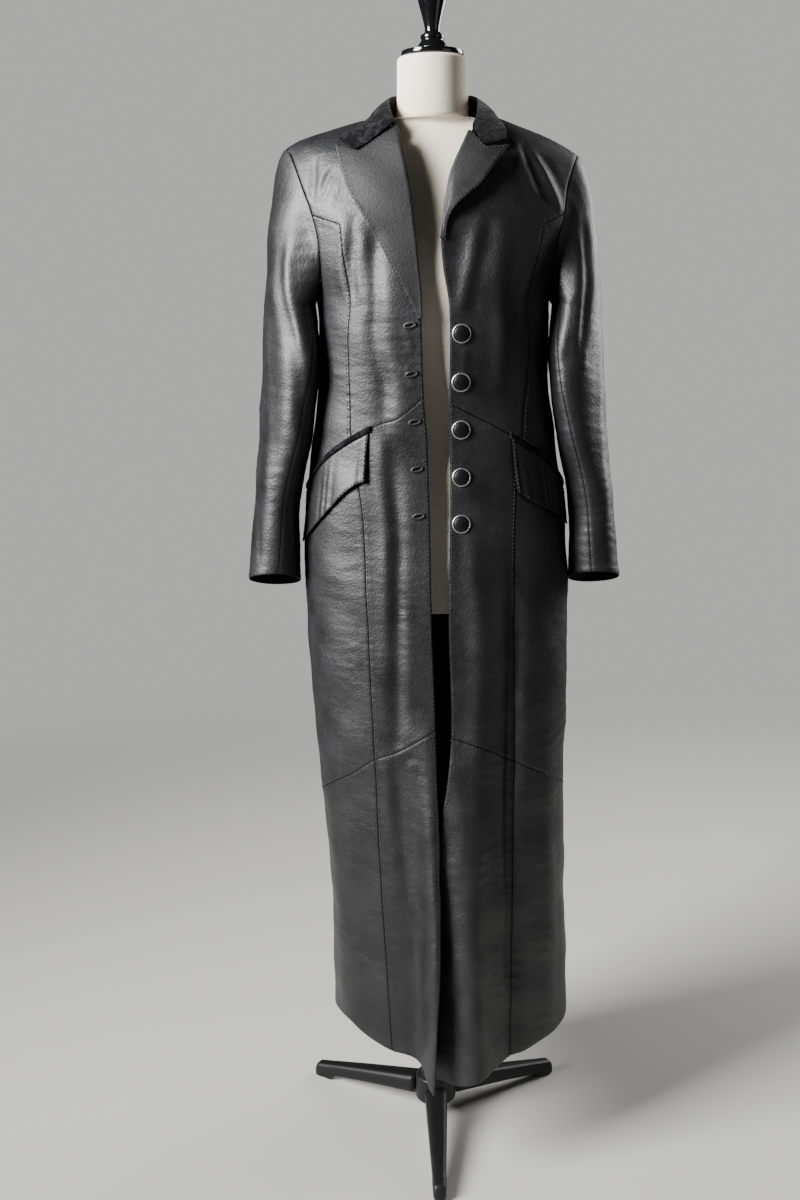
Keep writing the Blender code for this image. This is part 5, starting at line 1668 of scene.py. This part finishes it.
@dataclass
class Lapel:
    """Peaked lapel that rolls out over the chest, from the front edge."""
    body: CoatBody
    edge: tuple[Spot, ...]
    notch: Spot
    gorge_height: float
    roll_share: float = 0.25  # share of the lapel's columns in its rolled edge
    lift: float = 0.013  # outer face of the lapel's edge above the chest
    break_radius: float = 0.0016
    roll_radius: float = 0.0032
    roll_full: float = 0.5  # share of the lapel's length over which the roll grows
    gap: float = 0.0005
    step: float = 0.0034
    thickness: float = 0.0014
    gorge_columns: int = 4
    notch_columns: int = 2
    panel: ClothPanel = field(init=False)

    def build(self) -> None:
        """Cut and make the lapel."""
        body = self.body
        edge_spots = body.spot([spot.angle for spot in self.edge],
                               np.array([spot.height for spot in self.edge]))
        low, gorge = self.edge[0].height, self.gorge_height
        notch = body.spot(self.notch.angle, self.notch.height)
        shape = patch(
            body.upright(body.opening, low, gorge),
            lambda share: spline(edge_spots, share),
            straight(body.spot(body.opening(low), low), edge_spots[0]),
            joined((self.gorge_columns, straight(body.spot(body.opening(gorge), gorge), notch)),
                   (self.notch_columns, straight(notch, edge_spots[-1]))))

        def surface(across: Array, up: Array) -> Array:
            """Points at shares across and up: first the roll, then the flat of the lapel.

            Args:
                across: Shares across.
                up: Shares up.

            Returns:
                The points.
            """
            radius = blend(self.break_radius, self.roll_radius, smooth(up / self.roll_full))[:, None]
            flat = np.clip((across - self.roll_share) / (1.0 - self.roll_share), 0.0, 1.0)
            spots = shape(flat, up)
            bend = np.pi * np.clip(across / self.roll_share, 0.0, 1.0)[None, :]
            metres = np.linalg.norm(body.bare(spots[:, :1, 0] + 1.0, spots[:, :1, 1])
                                    - body.bare(spots[:, :1, 0], spots[:, :1, 1]), axis=2)
            rolled = across[None, :] < self.roll_share
            stand = blend(2 * self.break_radius, self.lift, smooth(up / self.roll_full))[:, None]
            inwards = np.where(rolled, (radius * np.sin(bend) + self.gap) / metres, 0.0)
            lift = np.where(rolled, radius * (1.0 - np.cos(bend)) + self.gap * np.cos(bend / 2),
                            blend(2 * radius, stand, flat[None, :]))
            spots[..., 0] -= inwards
            return body.place(spots, lift)
        name = f"lapel_{body.side.word}"
        self.panel = ClothPanel(name, surface, body.sign, self.step, thickness=self.thickness,
                                finishes=(Finish.FACING, Finish.FACING))
        self.panel.make("black_nappa", "folded", [f"front_chest_{body.side.word}"])

    def sewing(self) -> list[Array]:
        """Topstitching along the free edge and the gorge."""
        return [self.panel.line(Edge.END), self.panel.line(Edge.HIGH)]


@dataclass
class Collar:
    """Velvet collar from one notch round the neck to the other: stand, roll and fall."""
    bodies: dict[Side, CoatBody]
    lapels: dict[Side, Lapel]
    tips: dict[Side, Spot]
    cloth: float = 0.0022
    step: float = 0.003
    pucker: float = 0.0002
    clear: float = 0.0045  # from the lapel's gorge
    side_share: float = 0.45  # of the way from the lapel to the shoulder
    side_height: float = 1.613
    side_lift: float = 0.0025
    lifts: tuple[float, ...] = (0.0012, 0.0082, 0.0108, 0.0112)
    rows: tuple[CollarRow, ...] = table(
        CollarRow, (0, 0.07, 1.6265, 0.061, 1.662, 0.076, 1.65, 0.088, 1.609),
        (45, 0.071, 1.6285, 0.06, 1.66, 0.076, 1.65, 0.09, 1.6165),
        (85, 0.0735, 1.6315, 0.059, 1.6545, 0.0735, 1.646, 0.0885, 1.63),
        (112, 0.079, 1.626, 0.068, 1.644, 0.086, 1.6335, 0.101, 1.6195))

    def station(self, row: CollarRow, side: Side) -> Array:
        """Four guide points of the collar at one turn round the neck.

        Args:
            row: The collar's section there.
            side: Side of the neck.

        Returns:
            The points.
        """
        turn = math.radians(row.turn)
        guides = np.array(row[1:]).reshape(4, 2)
        return np.column_stack((side.value * math.sin(turn) * guides[:, 0],
                                math.cos(turn) * guides[:, 0], guides[:, 1]))

    def end(self, side: Side) -> Array:
        """Four guide points where the collar meets the lapel.

        Args:
            side: Side of the neck.

        Returns:
            The points.
        """
        body, lapel = self.bodies[side], self.lapels[side]
        gorge = lapel.gorge_height + self.clear
        start = (float(body.opening(gorge)), gorge)
        spots = (start, start, (lapel.notch.angle, lapel.notch.height + self.clear), self.tips[side])
        angles, heights = np.array(spots).T
        return body.place(body.spot(angles, heights), np.array(self.lifts))

    def neck_side(self, side: Side) -> Array:
        """Four guide points between the lapel and the shoulder, over the edge of the neck.

        Args:
            side: Side of the neck.

        Returns:
            The points.
        """
        body = self.bodies[side]
        guides = blend(self.end(side), self.station(self.rows[-1], side), self.side_share)
        edge = body.spot(body.opening(self.side_height), self.side_height)
        return guides + body.place(edge, self.side_lift) - guides[0]

    def build(self) -> None:
        """Cut and make the collar."""
        right, left = Side.RIGHT, Side.LEFT
        stations = [self.end(right), self.neck_side(right)]
        stations += [self.station(row, right) for row in reversed(self.rows[1:])]
        stations += [self.station(row, left) for row in self.rows]
        stations += [self.neck_side(left), self.end(left)]
        guides = np.array(stations)

        def surface(across: Array, up: Array) -> Array:
            """Points at shares round the neck and over the fold."""
            return spline(np.moveaxis(spline(guides, across), 1, 0), up)
        panel = ClothPanel("collar", surface, 1, self.step, thickness=self.cloth, pucker=self.pucker,
                           finishes=(Finish.VELVET, Finish.VELVET))
        panel.make("black_velvet", "folded", ["back_chest_right", "back_chest_left"])


@dataclass
class Pocket:
    """Flap under a velvet welt, in the waist seam of one side."""
    body: CoatBody
    ends: tuple[float, float]
    welt_width: float = 0.011
    welt_lift: float = 0.0036
    welt_crown: float = 0.001
    welt_clear: float = 0.0004
    overhang: float = 0.9  # degrees past each end of the flap
    gap: float = 0.0005
    lifts: tuple[float, float, float] = (0.003, 0.008, 0.004)  # welt, front corner and side
    buckle: float = 0.0007  # rise of the flap's buckles
    buckle_waves: tuple[float, float, float] = (37.0, 3.4, 13.0)  # their turns, sway and drift
    welt_step: float = 0.003
    welt_pucker: float = 0.0001
    flap_step: float = 0.0034
    flap_rows: tuple[Level, ...] = table(
        Level, (29, 1.106, 1.098), (33, 1.102, 1.093), (40, 1.088, 1.075), (55, 1.049, 1.056),
        (75, 1.01, 1.032), (88, 0.996, 1.02))
    flap: ClothPanel = field(init=False)

    def build(self) -> None:
        """Cut and make the welt and the flap."""
        body, half = self.body, self.welt_width / 2
        start, end = self.ends
        bottom = column(self.flap_rows, body.side.word)

        def welt(across: Array, up: Array) -> Array:
            """Points of the welt, crowned across its width.

            Args:
                across: Shares across.
                up: Shares up.

            Returns:
                The points.
            """
            angle = np.broadcast_to(blend(start - self.overhang, end + self.overhang, across),
                                    (len(up), len(across)))
            height = body.waist(angle) + blend(-half, half, up)[:, None]
            lift = self.welt_lift + self.welt_crown * (1.0 - (2.0 * up - 1.0) ** 2)
            return body.place(body.spot(angle, height), lift[:, None])

        def flap(across: Array, up: Array) -> Array:
            """Points of the flap, which stands off at its free edge and buckles there.

            Args:
                across: Shares across.
                up: Shares up.

            Returns:
                The points.
            """
            angle = np.broadcast_to(blend(start, end, across), (len(up), len(across)))
            height = blend(bottom(angle), body.waist(angle) - half - self.gap, up[:, None])
            free = blend(self.lifts[1], self.lifts[2], across)[None, :]
            turns, sway, drift = self.buckle_waves
            rows = up[:, None]
            wave = np.sin(across * turns + sway * np.sin(across * drift))[None, :] * (1.0 - rows ** 2)
            lift = blend(free, self.lifts[0], rows) + self.buckle * wave
            return body.place(body.spot(angle, height), lift)
        word = body.side.word
        carrier = [f"side_skirt_{word}"]
        strip = ClothPanel(f"pocket_welt_{word}", welt, body.sign, self.welt_step,
                           thickness=self.welt_lift - self.welt_clear, pucker=self.welt_pucker,
                           finishes=(Finish.VELVET, Finish.VELVET))
        strip.make("black_velvet", "stretched", carrier)
        self.flap = ClothPanel(f"pocket_flap_{word}", flap, body.sign, self.flap_step)
        self.flap.make("black_nappa", "hung", carrier)

    def sewing(self) -> list[Array]:
        """Topstitching round the flap's free edges."""
        return [self.flap.line(edge) for edge in (Edge.START, Edge.LOW, Edge.END)]


@dataclass
class Closure:
    """Covered buttons in metal rims on the left front, and bound holes on the right front."""
    bodies: dict[Side, CoatBody]
    count: int = 5
    pitch: float = 0.0685
    top_button: float = 1.318
    top_hole: float = 1.33
    inset: float = 0.018  # from the front edge to the middle of a button
    radius: float = 0.0138
    lift: float = 0.0006
    rim: float = 0.0012
    hole_length: float = 0.0225
    hole_width: float = 0.0106
    hole_lip: float = 0.0019  # half the width of the bound edge
    hole_rise: float = 0.0013
    hole_clear: float = -0.0004
    hole_tilt: float = 0.16  # rise towards the front edge for each metre
    hole_segments: int = 56
    rim_segments: int = 48
    lip_steps: int = 12  # round a lip or a rim
    slit_step: int = 7  # step of the lip that the slit face, black velvet painted as the hole's shade, is set in
    seam_clear: float = 0.01  # distance to a seam at which no painted seam shade shows
    dome_steps: int = 4
    dome: tuple[Turning, ...] = table(
        Turning, (0, 0.0054), (0.005, 0.005), (0.009, 0.0039), (0.011, 0.0024), (0.0114, 0))

    def from_edge(self, side: Side, height: float, distance: float) -> tuple[float, float]:
        """Angle at a distance in from the front edge, and metres for a degree there.

        Args:
            side: Front.
            height: Height.
            distance: Metres from the edge.

        Returns:
            The angle and the metres.
        """
        body = self.bodies[side]
        angle = float(body.opening(height))
        drop = body.drop_at(angle, height)
        metres = float(np.linalg.norm(body.bare(angle + 1.0, drop) - body.bare(angle, drop)))
        return angle + distance / metres, metres

    def row_tree(self) -> NodeTree:
        """Tree that sets one shape on each point of a row, facing out along its aim."""
        tree, add, given = new_tree("button_row", {
            "Shape": "NodeSocketObject", "Finish": "NodeSocketMaterial"})
        shape = add("GeometryNodeObjectInfo", {"Object": given.outputs["Shape"]})
        aim = add("GeometryNodeInputNamedAttribute", {"Name": "aim"}, data_type="FLOAT_VECTOR")
        turn = add("FunctionNodeAlignRotationToVector", {"Vector": aim}, axis="Z")
        row = add("GeometryNodeInstanceOnPoints", {
            "Points": given.outputs["Geometry"], "Instance": shape.outputs["Geometry"],
            "Rotation": turn})
        close_tree(add, row, given.outputs["Finish"])
        return tree

    def build_buttons(self) -> None:
        """Make the domes and the rims, each a row of five."""
        body = self.bodies[Side.LEFT]
        heights = [self.top_button - k * self.pitch for k in range(self.count)]
        spots = np.array([body.spot(self.from_edge(Side.LEFT, height, self.inset)[0], height)
                          for height in heights])
        aims = body.normal(spots[:, 0], spots[:, 1])
        tree = self.row_tree()
        dome = np.concatenate((rounded(self.dome, self.dome_steps), ((0.0, 0.0),)))
        bend = np.linspace(math.pi, -math.pi, self.lip_steps + 1)[:-1]
        turn = np.linspace(0.0, math.tau, self.rim_segments + 1)[:-1, None]
        reach = (self.radius - self.rim + self.rim * np.cos(bend))[None]
        rise = np.broadcast_to(self.rim * (1.0 + np.sin(bend)), (len(turn), len(bend)))
        hoop = np.stack((reach * np.cos(turn), reach * np.sin(turn), rise), axis=2)
        hoop_faces = grid_faces(*rise.shape, round_rows=True, round_columns=True).tolist()
        shapes = (("button", *lathe(dome, self.rim_segments), Finish.COVER, "black_nappa"),
                  ("button_rim", hoop.reshape(-1, 3), hoop_faces, Finish.STEEL, "button_rim_steel"))
        for kind, points, faces, finish, slot in shapes:
            shape = mesh_object(f"{kind}_shape", points - STAND_SHIFT, faces, (finish,))
            row = mesh_object(f"{kind}_points", body.place(spots, self.lift), [], ())
            row.data.attributes.new("aim", "FLOAT_VECTOR", "POINT").data.foreach_set("vector", aims.ravel())
            piece = run_nodes(row, tree, {"Shape": shape, "Finish": finish.material}, f"{kind}s_row")
            bpy.data.objects.remove(shape)
            stand_for(piece, slot, *[f"{kind}_{k + 1}" for k in range(self.count)])

    def build_holes(self) -> None:
        """Make the bound buttonholes on the right front: a raised lip round a slit face of painted shade.
        """
        body = self.bodies[Side.RIGHT]
        turn = np.linspace(0.0, math.tau, self.hole_segments + 1)[:-1][:, None]
        bend = np.linspace(0.0, math.tau, self.lip_steps + 1)[:-1][None, :]
        lip = self.hole_lip
        long, wide = self.hole_length / 2.0 - lip, self.hole_width / 2.0 - lip
        out = np.stack((wide * np.cos(turn), long * np.sin(turn)), axis=-1)
        out = unit(out) * (lip * np.cos(bend))[..., None]
        along, across = long * np.cos(turn) + out[..., 0], wide * np.sin(turn) + out[..., 1]
        lift = self.hole_clear + self.hole_rise * (1.0 + np.sin(bend)) + 0.0 * turn
        faces = grid_faces(*along.shape, round_rows=True, round_columns=True).tolist()
        # the slit's face, in black velvet, is painted shade inside the hole
        faces.append(list(range(self.slit_step, along.size, self.lip_steps)))
        for k in range(self.count):
            height = self.top_hole - k * self.pitch
            angle, metres = self.from_edge(Side.RIGHT, height, self.inset)
            spots = body.spot(angle + along / metres, height + across - along * self.hole_tilt)
            piece = mesh_object(f"buttonhole_{k + 1}_lips", body.place(spots, lift), faces,
                                (Finish.LEATHER, Finish.VELVET))
            # the slit face takes the velvet: painted shade inside the hole
            piece.data.polygons[-1].material_index = 1
            # the lower half of each lip (bend past half a turn) counts as on the seam: painted shade under
            # the lip
            mark_seam(piece, np.where(bend + 0.0 * turn > math.pi, 0.0, self.seam_clear).ravel())
            stand_for(piece, "black_nappa", f"buttonhole_{k + 1}")

    def build(self) -> None:
        """Make the buttons and the holes."""
        self.build_buttons()
        self.build_holes()


@dataclass
class Topstitching:
    """All visible sewing of the coat, in one thread."""
    pitch: float = 0.0058
    length: float = 0.0041
    width: float = 0.0013  # thread is about 0.4 mm, drawn thicker so that it shows
    seed: int = 7

    def tree(self) -> NodeTree:
        """Tree that sews stitches along the edges of a mesh."""
        tree, add, given = new_tree("topstitch", {
            "Pitch": "NodeSocketFloat", "Length": "NodeSocketFloat", "Width": "NodeSocketFloat",
            "Seed": "NodeSocketInt", "Thread": "NodeSocketMaterial"})
        path = add("GeometryNodeMeshToCurve", {"Mesh": given.outputs["Geometry"]})
        points = add("GeometryNodeCurveToPoints", {
            "Curve": path, "Length": given.outputs["Pitch"]}, mode="LENGTH")
        turn = add("FunctionNodeAlignRotationToVector", {
            "Vector": points.outputs["Tangent"]}, axis="X")
        bead = add("GeometryNodeMeshUVSphere", {"Segments": 6, "Rings": 4, "Radius": 0.5})
        size = add("ShaderNodeCombineXYZ", {
            0: given.outputs["Length"], 1: given.outputs["Width"], 2: given.outputs["Width"]})
        stitch = add("GeometryNodeTransform", {"Geometry": bead, "Scale": size})
        uneven = add("FunctionNodeRandomValue", {2: 0.85, 3: 1.1, 8: given.outputs["Seed"]},
                          data_type="FLOAT")
        row = add("GeometryNodeInstanceOnPoints", {
            "Points": points, "Instance": stitch, "Rotation": turn,
            "Scale": uneven.outputs[1]})
        close_tree(add, row, given.outputs["Thread"])
        return tree

    def sew(self, name: str, lines: list[Array]) -> None:
        """Sew along lines.

        Args:
            name: Name of the piece.
            lines: Points of each line, measured from the stand's axis.
        """
        mesh = bpy.data.meshes.new(name)
        edges, first = [], 0
        for line in lines:
            edges += [(first + k, first + k + 1) for k in range(len(line) - 1)]
            first += len(line)
        mesh.from_pydata((np.concatenate(lines) + STAND_SHIFT).tolist(), edges, [])
        source = link(f"{name}_lines", mesh)
        values = {"Pitch": self.pitch, "Length": self.length, "Width": self.width, "Seed": self.seed,
                  "Thread": Finish.THREAD.material}
        stand_for(run_nodes(source, self.tree(), values, name), "black_nappa")


# Dress form and stand
@dataclass
class DressForm:
    """Linen-covered torso and neck block, with a turned and lacquered cap."""
    neck_radius: float = 0.0514
    neck_base: float = 1.6207
    neck_top: float = 1.7075
    neck_corner: float = 0.006
    corner_steps: int = 9
    neck_flare: float = 0.0012  # how much wider the neck is at its base
    neck_rows: int = 12
    neck_segments: int = 128
    cap_steps: int = 5
    cap_segments: int = 96
    torso_rows: int = 121
    torso_columns: int = 128
    top_ring: float = 0.5  # share of the top section that is left as one flat face
    base_rings: tuple[float, ...] = (0.994, 0.97, 0.5)
    clear: float = 0.0012  # kept inside the solid, so that the cloth stays clear
    gap: float = 0.0005
    sections: tuple[FormSection, ...] = table(
        FormSection, (1.6205, 0.072, 0.055, 0.05, 2), (1.616, 0.1035, 0.047, 0.047, 1.7),
        (1.6065, 0.129, 0.048, 0.051, 1.7), (1.585, 0.158, 0.058, 0.064, 1.8),
        (1.55, 0.172, 0.073, 0.078, 2), (1.45, 0.16, 0.104, 0.092, 2.1),
        (1.37, 0.15, 0.116, 0.092, 2.1), (1.28, 0.138, 0.106, 0.082, 2.1),
        (1.19, 0.128, 0.096, 0.076, 2.1), (1.1, 0.15, 0.102, 0.092, 2.1), (1, 0.17, 0.11, 0.11, 2.1),
        (0.93, 0.174, 0.112, 0.116, 2.1), (0.905, 0.172, 0.11, 0.114, 2.1))
    cap: tuple[Turning, ...] = table(
        Turning, (0, 0.112), (0.012, 0.1105), (0.0205, 0.102), (0.0225, 0.09), (0.0205, 0.076),
        (0.015, 0.056), (0.0112, 0.04), (0.0116, 0.033), (0.0165, 0.03), (0.0172, 0.026), (0.016, 0.0225),
        (0.02, 0.017), (0.0225, 0.012), (0.023, 0.0095), (0.042, 0.0085), (0.0449, 0.006),
        (0.0449, 0.002), (0.043, 0))

    def build_torso(self) -> None:
        """Make the torso, a smooth loft through its sections, closed at both ends."""
        share = np.linspace(0.0, 1.0, self.torso_rows)
        height, half_width, front, back, squareness = spline(np.array(self.sections), share).T
        turn = np.linspace(0.0, math.tau, self.torso_columns + 1)[:-1]
        sine, cosine = np.sin(turn)[None], np.cos(turn)[None]
        power = (2.0 / squareness)[:, None]
        depth = np.where(cosine > 0, front[:, None], back[:, None]) - self.clear
        x = (half_width - self.clear)[:, None] * np.sign(sine) * np.abs(sine) ** power
        y = -depth * np.sign(cosine) * np.abs(cosine) ** power
        rings = np.stack((x, y, np.broadcast_to(height[:, None], x.shape)), axis=2)
        top, *lows = (end * np.array((size, size, 1.0)) for end, size in (
            (rings[:1], self.top_ring), *((rings[-1:], size) for size in self.base_rings)))
        rings = np.concatenate((top, rings, *lows))
        faces = tube_faces(*rings.shape[:2], (0, 3, 2, 1))
        piece = mesh_object("form_torso_linen", rings, faces, (Finish.LINEN,))
        stand_for(piece, "cream_linen", "form_torso")

    def build_neck(self) -> None:
        """Make the neck block and its cap."""
        top, base, radius = self.neck_top, self.neck_base + self.gap, self.neck_radius
        soft, rows = self.neck_corner, self.neck_rows
        profile = [(0.0, top)]
        profile += [(radius - soft + soft * math.sin(a), top - soft + soft * math.cos(a))
                    for a in np.linspace(0.0, math.pi / 2, self.corner_steps)]
        profile += [(radius + self.neck_flare * k / rows * (k / rows), blend(top - soft, base, k / rows))
                    for k in range(1, rows + 1)]
        profile.append((0.0, base))
        neck = turned("form_neck_linen", np.array(profile), self.neck_segments, Finish.LINEN)
        stand_for(neck, "cream_linen", "form_neck")
        shape = np.concatenate((rounded(self.cap, self.cap_steps), ((0.0, 0.0),)))
        shape += np.array((0.0, top + self.gap))
        cap = turned("neck_cap_turning", shape, self.cap_segments, Finish.LACQUER)
        stand_for(cap, "black_lacquer", "neck_cap")

    def build(self) -> None:
        """Make the form."""
        self.build_torso()
        self.build_neck()


@dataclass
class TripodStand:
    """Pole, hub and three cast legs."""
    pole_radius: float = 0.013
    pole_top: float = 0.9045
    gap: float = 0.0005
    leg_count: int = 3
    leg_squareness: float = 3.6
    leg_rows: int = 49
    leg_columns: int = 32
    tip: tuple[float, float] = (0.93, 0.07)  # share where a leg's end starts to round off, and the rest
    tip_least: float = 0.06
    corner_steps: int = 5
    corner_most: float = 0.45  # share of a stretch that a rounded corner may take
    pole_corner: float = 0.0015
    hub_corner: float = 0.003
    pole_segments: int = 64
    hub_segments: int = 96
    hub: tuple[Turning, ...] = table(
        Turning, (0, 0.115), (0.02, 0.115), (0.023, 0.112), (0.024, 0.078), (0.033, 0.074),
        (0.034, 0.034), (0.03, 0.03), (0, 0.03))
    legs: tuple[LegSection, ...] = table(
        LegSection, (0.0345, 0.019, 0.032, 0.066), (0.135, 0.0145, 0.02, 0.047),
        (0.2, 0.0115, 0.01, 0.034), (0.212, 0.0115, 0, 0.0315), (0.245, 0.01, 0, 0.025))

    def softened(self, profile: tuple[Turning, ...], reach: float) -> Array:
        """Profile with each corner cut by a small round.

        Args:
            profile: Corners.
            reach: How far a round reaches.

        Returns:
            The finer profile.
        """
        rows = [np.array(profile[0])]
        for before, here, after in zip(profile[:-2], profile[1:-1], profile[2:]):
            ends = []
            for other in (before, after):
                way = np.array(other) - np.array(here)
                ends.append(np.array(here) + way * min(reach / np.linalg.norm(way), self.corner_most))
            for t in np.linspace(0.0, 1.0, self.corner_steps):
                rows.append(ends[0] * (1 - t) ** 2 + np.array(here) * 2 * t * (1 - t) + ends[1] * t * t)
        return np.array(rows + [np.array(profile[-1])])

    def build_leg(self, index: int) -> None:
        """Make a cast leg, tapered towards a flat foot. The first leg points to the front.

        Args:
            index: Number of the leg, from 0.
        """
        share = np.linspace(0.0, 1.0, self.leg_rows)
        place = share * (len(self.legs) - 1)
        rows = np.stack([np.interp(place, range(len(self.legs)), values)
                         for values in np.array(self.legs).T], axis=1)
        start, rest = self.tip
        end = np.sqrt(np.clip(1.0 - np.clip((share - start) / rest, 0.0, 1.0) ** 2, self.tip_least, 1.0))
        turn = np.linspace(0.0, math.tau, self.leg_columns + 1)[:-1]
        power = 2.0 / self.leg_squareness
        wide = np.sign(np.cos(turn)) * np.abs(np.cos(turn)) ** power
        tall = np.sign(np.sin(turn)) * np.abs(np.sin(turn)) ** power
        middle, half = (rows[:, 2] + rows[:, 3]) / 2, (rows[:, 3] - rows[:, 2]) / 2
        middle = middle - half * (1.0 - end)
        x = (rows[:, 1] * end)[:, None] * wide[None]
        z = middle[:, None] + (half * end)[:, None] * tall[None]
        y = np.broadcast_to(-rows[:, :1], x.shape)
        spin = np.array(Matrix.Rotation(math.tau * index / self.leg_count, 3, "Z"))
        rings = np.stack((x, y, z), axis=2) @ spin.T
        faces = tube_faces(*rings.shape[:2], (3, 2, 1, 0))
        piece = mesh_object(f"stand_leg_{index + 1}_casting", rings, faces, (Finish.IRON,))
        stand_for(piece, "black_iron", f"stand_leg_{index + 1}")

    def build(self) -> None:
        """Make the stand."""
        low = self.hub[0].height + self.gap
        pole = (Turning(0.0, self.pole_top), Turning(self.pole_radius, self.pole_top),
                Turning(self.pole_radius, low), Turning(0.0, low))
        shape = self.softened(pole, self.pole_corner)
        tube = turned("stand_pole_tube", shape, self.pole_segments, Finish.ENAMEL)
        stand_for(tube, "pole_enamel", "stand_pole")
        shape = self.softened(self.hub, self.hub_corner)
        hub = turned("stand_hub_casting", shape, self.hub_segments, Finish.IRON)
        stand_for(hub, "black_iron", "stand_hub")
        for index in range(self.leg_count):
            self.build_leg(index)


@dataclass
class Studio:
    """Camera at the photograph's viewing angle, a pale floor and soft light from the wearer's right."""
    lens: float = 40.5  # millimetres on a 36 mm sensor
    place: tuple[float, float, float] = (-0.0538, -2.04, 1.364)
    tilt: float = 12.5  # degrees down
    roll: float = -0.5
    floor_radius: float = 3.0
    floor_corners: int = 64
    room_tone: str = "#c6c6c5"  # seen behind the object
    room_glow: float = 0.05  # light that the dim room gives
    room_pale: float = 0.9  # strength of the backdrop that the camera sees
    lights: tuple[PanelLight, ...] = table(
        PanelLight,
        ("key_panel", (-2.45, -1.35, 2.45), (0.0, 0.0, 1.45), (1.2, 2.0), 170.0, 100.0),
        ("fill_panel", (2.4, -1.8, 1.5), (0.0, 0.0, 0.9), (1.6, 2.2), 6.0, 180.0),
        ("rear_panel", (2.4, 1.7, 2.1), (0.0, 0.0, 1.0), (1.6, 2.2), 100.0, 180.0))

    def build_camera(self) -> None:
        """Make the camera."""
        data = bpy.data.cameras.new("view")
        data.lens = self.lens
        data.sensor_width = 36.0
        camera = link("view", data)
        camera.matrix_world = (Matrix.Translation(self.place)
                               @ Matrix.Rotation(math.pi / 2 - math.radians(self.tilt), 4, "X")
                               @ Matrix.Rotation(math.radians(self.roll), 4, "Z"))
        bpy.context.scene.camera = camera

    def build_floor(self) -> None:
        """Make the round paper floor."""
        turn = np.linspace(0.0, math.tau, self.floor_corners, endpoint=False)
        ring = self.floor_radius * np.stack((np.cos(turn), np.sin(turn), np.zeros_like(turn)), axis=1)
        mesh_object("paper_floor", ring - STAND_SHIFT, [tuple(range(len(turn)))], (Finish.PAPER,))

    def build_room(self) -> None:
        """Make a dim room whose backdrop looks pale to the camera."""
        world = bpy.data.worlds.new("dim_room")
        world.use_nodes = True
        tree = world.node_tree
        dim = tree.nodes["Background"]
        set_inputs(tree, dim, {"Color": linear(self.room_tone), "Strength": self.room_glow})
        pale = add_node(tree, "ShaderNodeBackground", {
            "Color": linear(self.room_tone), "Strength": self.room_pale})
        rays = add_node(tree, "ShaderNodeLightPath", {})
        seen = add_node(tree, "ShaderNodeMixShader", {
            0: rays.outputs["Is Camera Ray"], 1: dim, 2: pale})
        set_inputs(tree, tree.nodes["World Output"], {"Surface": seen})
        bpy.context.scene.world = world

    def add_light(self, panel: PanelLight) -> None:
        """Add a soft panel light.

        Args:
            panel: What the light is like.
        """
        data = bpy.data.lights.new(panel.name, "AREA")
        data.shape = "RECTANGLE"
        data.size, data.size_y = panel.size
        data.energy = panel.power
        data.spread = math.radians(panel.spread)
        light = link(panel.name, data)
        light.location = panel.place
        light.rotation_mode = "QUATERNION"
        light.rotation_quaternion = (Vector(panel.aim) - Vector(panel.place)).to_track_quat("-Z", "Y")
        light.visible_camera = False

    def build(self) -> None:
        """Make the camera, the floor, the room and the lights."""
        self.build_camera()
        self.build_floor()
        self.build_room()
        for panel in self.lights:
            self.add_light(panel)


LAPEL_CUTS: dict[Side, tuple] = {  # free edge from the break to the peak, notch, and height of the gorge
    Side.RIGHT: (table(Spot, (6.8, 1.338), (13.8, 1.39), (23.1, 1.468), (28.8, 1.51), (30.8, 1.54),
                       (32.3, 1.575)), Spot(23.1, 1.566), 1.6),
    Side.LEFT: (table(Spot, (2.9, 1.448), (3.6, 1.474), (6.0, 1.492), (10.2, 1.508), (15.0, 1.527),
                      (23.0, 1.571)), Spot(14.5, 1.569), 1.594),
}
FLAP_ENDS = {Side.RIGHT: (29.3, 81.0), Side.LEFT: (34.0, 81.0)}
COLLAR_TIPS = {Side.RIGHT: Spot(31.0, 1.583), Side.LEFT: Spot(22.0, 1.58)}


def main() -> None:
    """Build the object piece by piece."""
    logging.basicConfig(level=logging.INFO, format="%(name)s: %(message)s")
    Studio().build()
    DressForm().build()
    TripodStand().build()
    bodies = {side: CoatBody(side) for side in Side}
    lapels = {side: Lapel(body, *LAPEL_CUTS[side]) for side, body in bodies.items()}
    sewing: list[Array] = []
    for side, body in bodies.items():
        for part in (BodyPanels(body), Sleeve(body), lapels[side], Pocket(body, FLAP_ENDS[side])):
            part.build()
            sewing += part.sewing()
    Collar(bodies, lapels, COLLAR_TIPS).build()
    Closure(bodies).build()
    Topstitching().sew("topstitching", sewing)


if __name__ == "__main__":
    main()
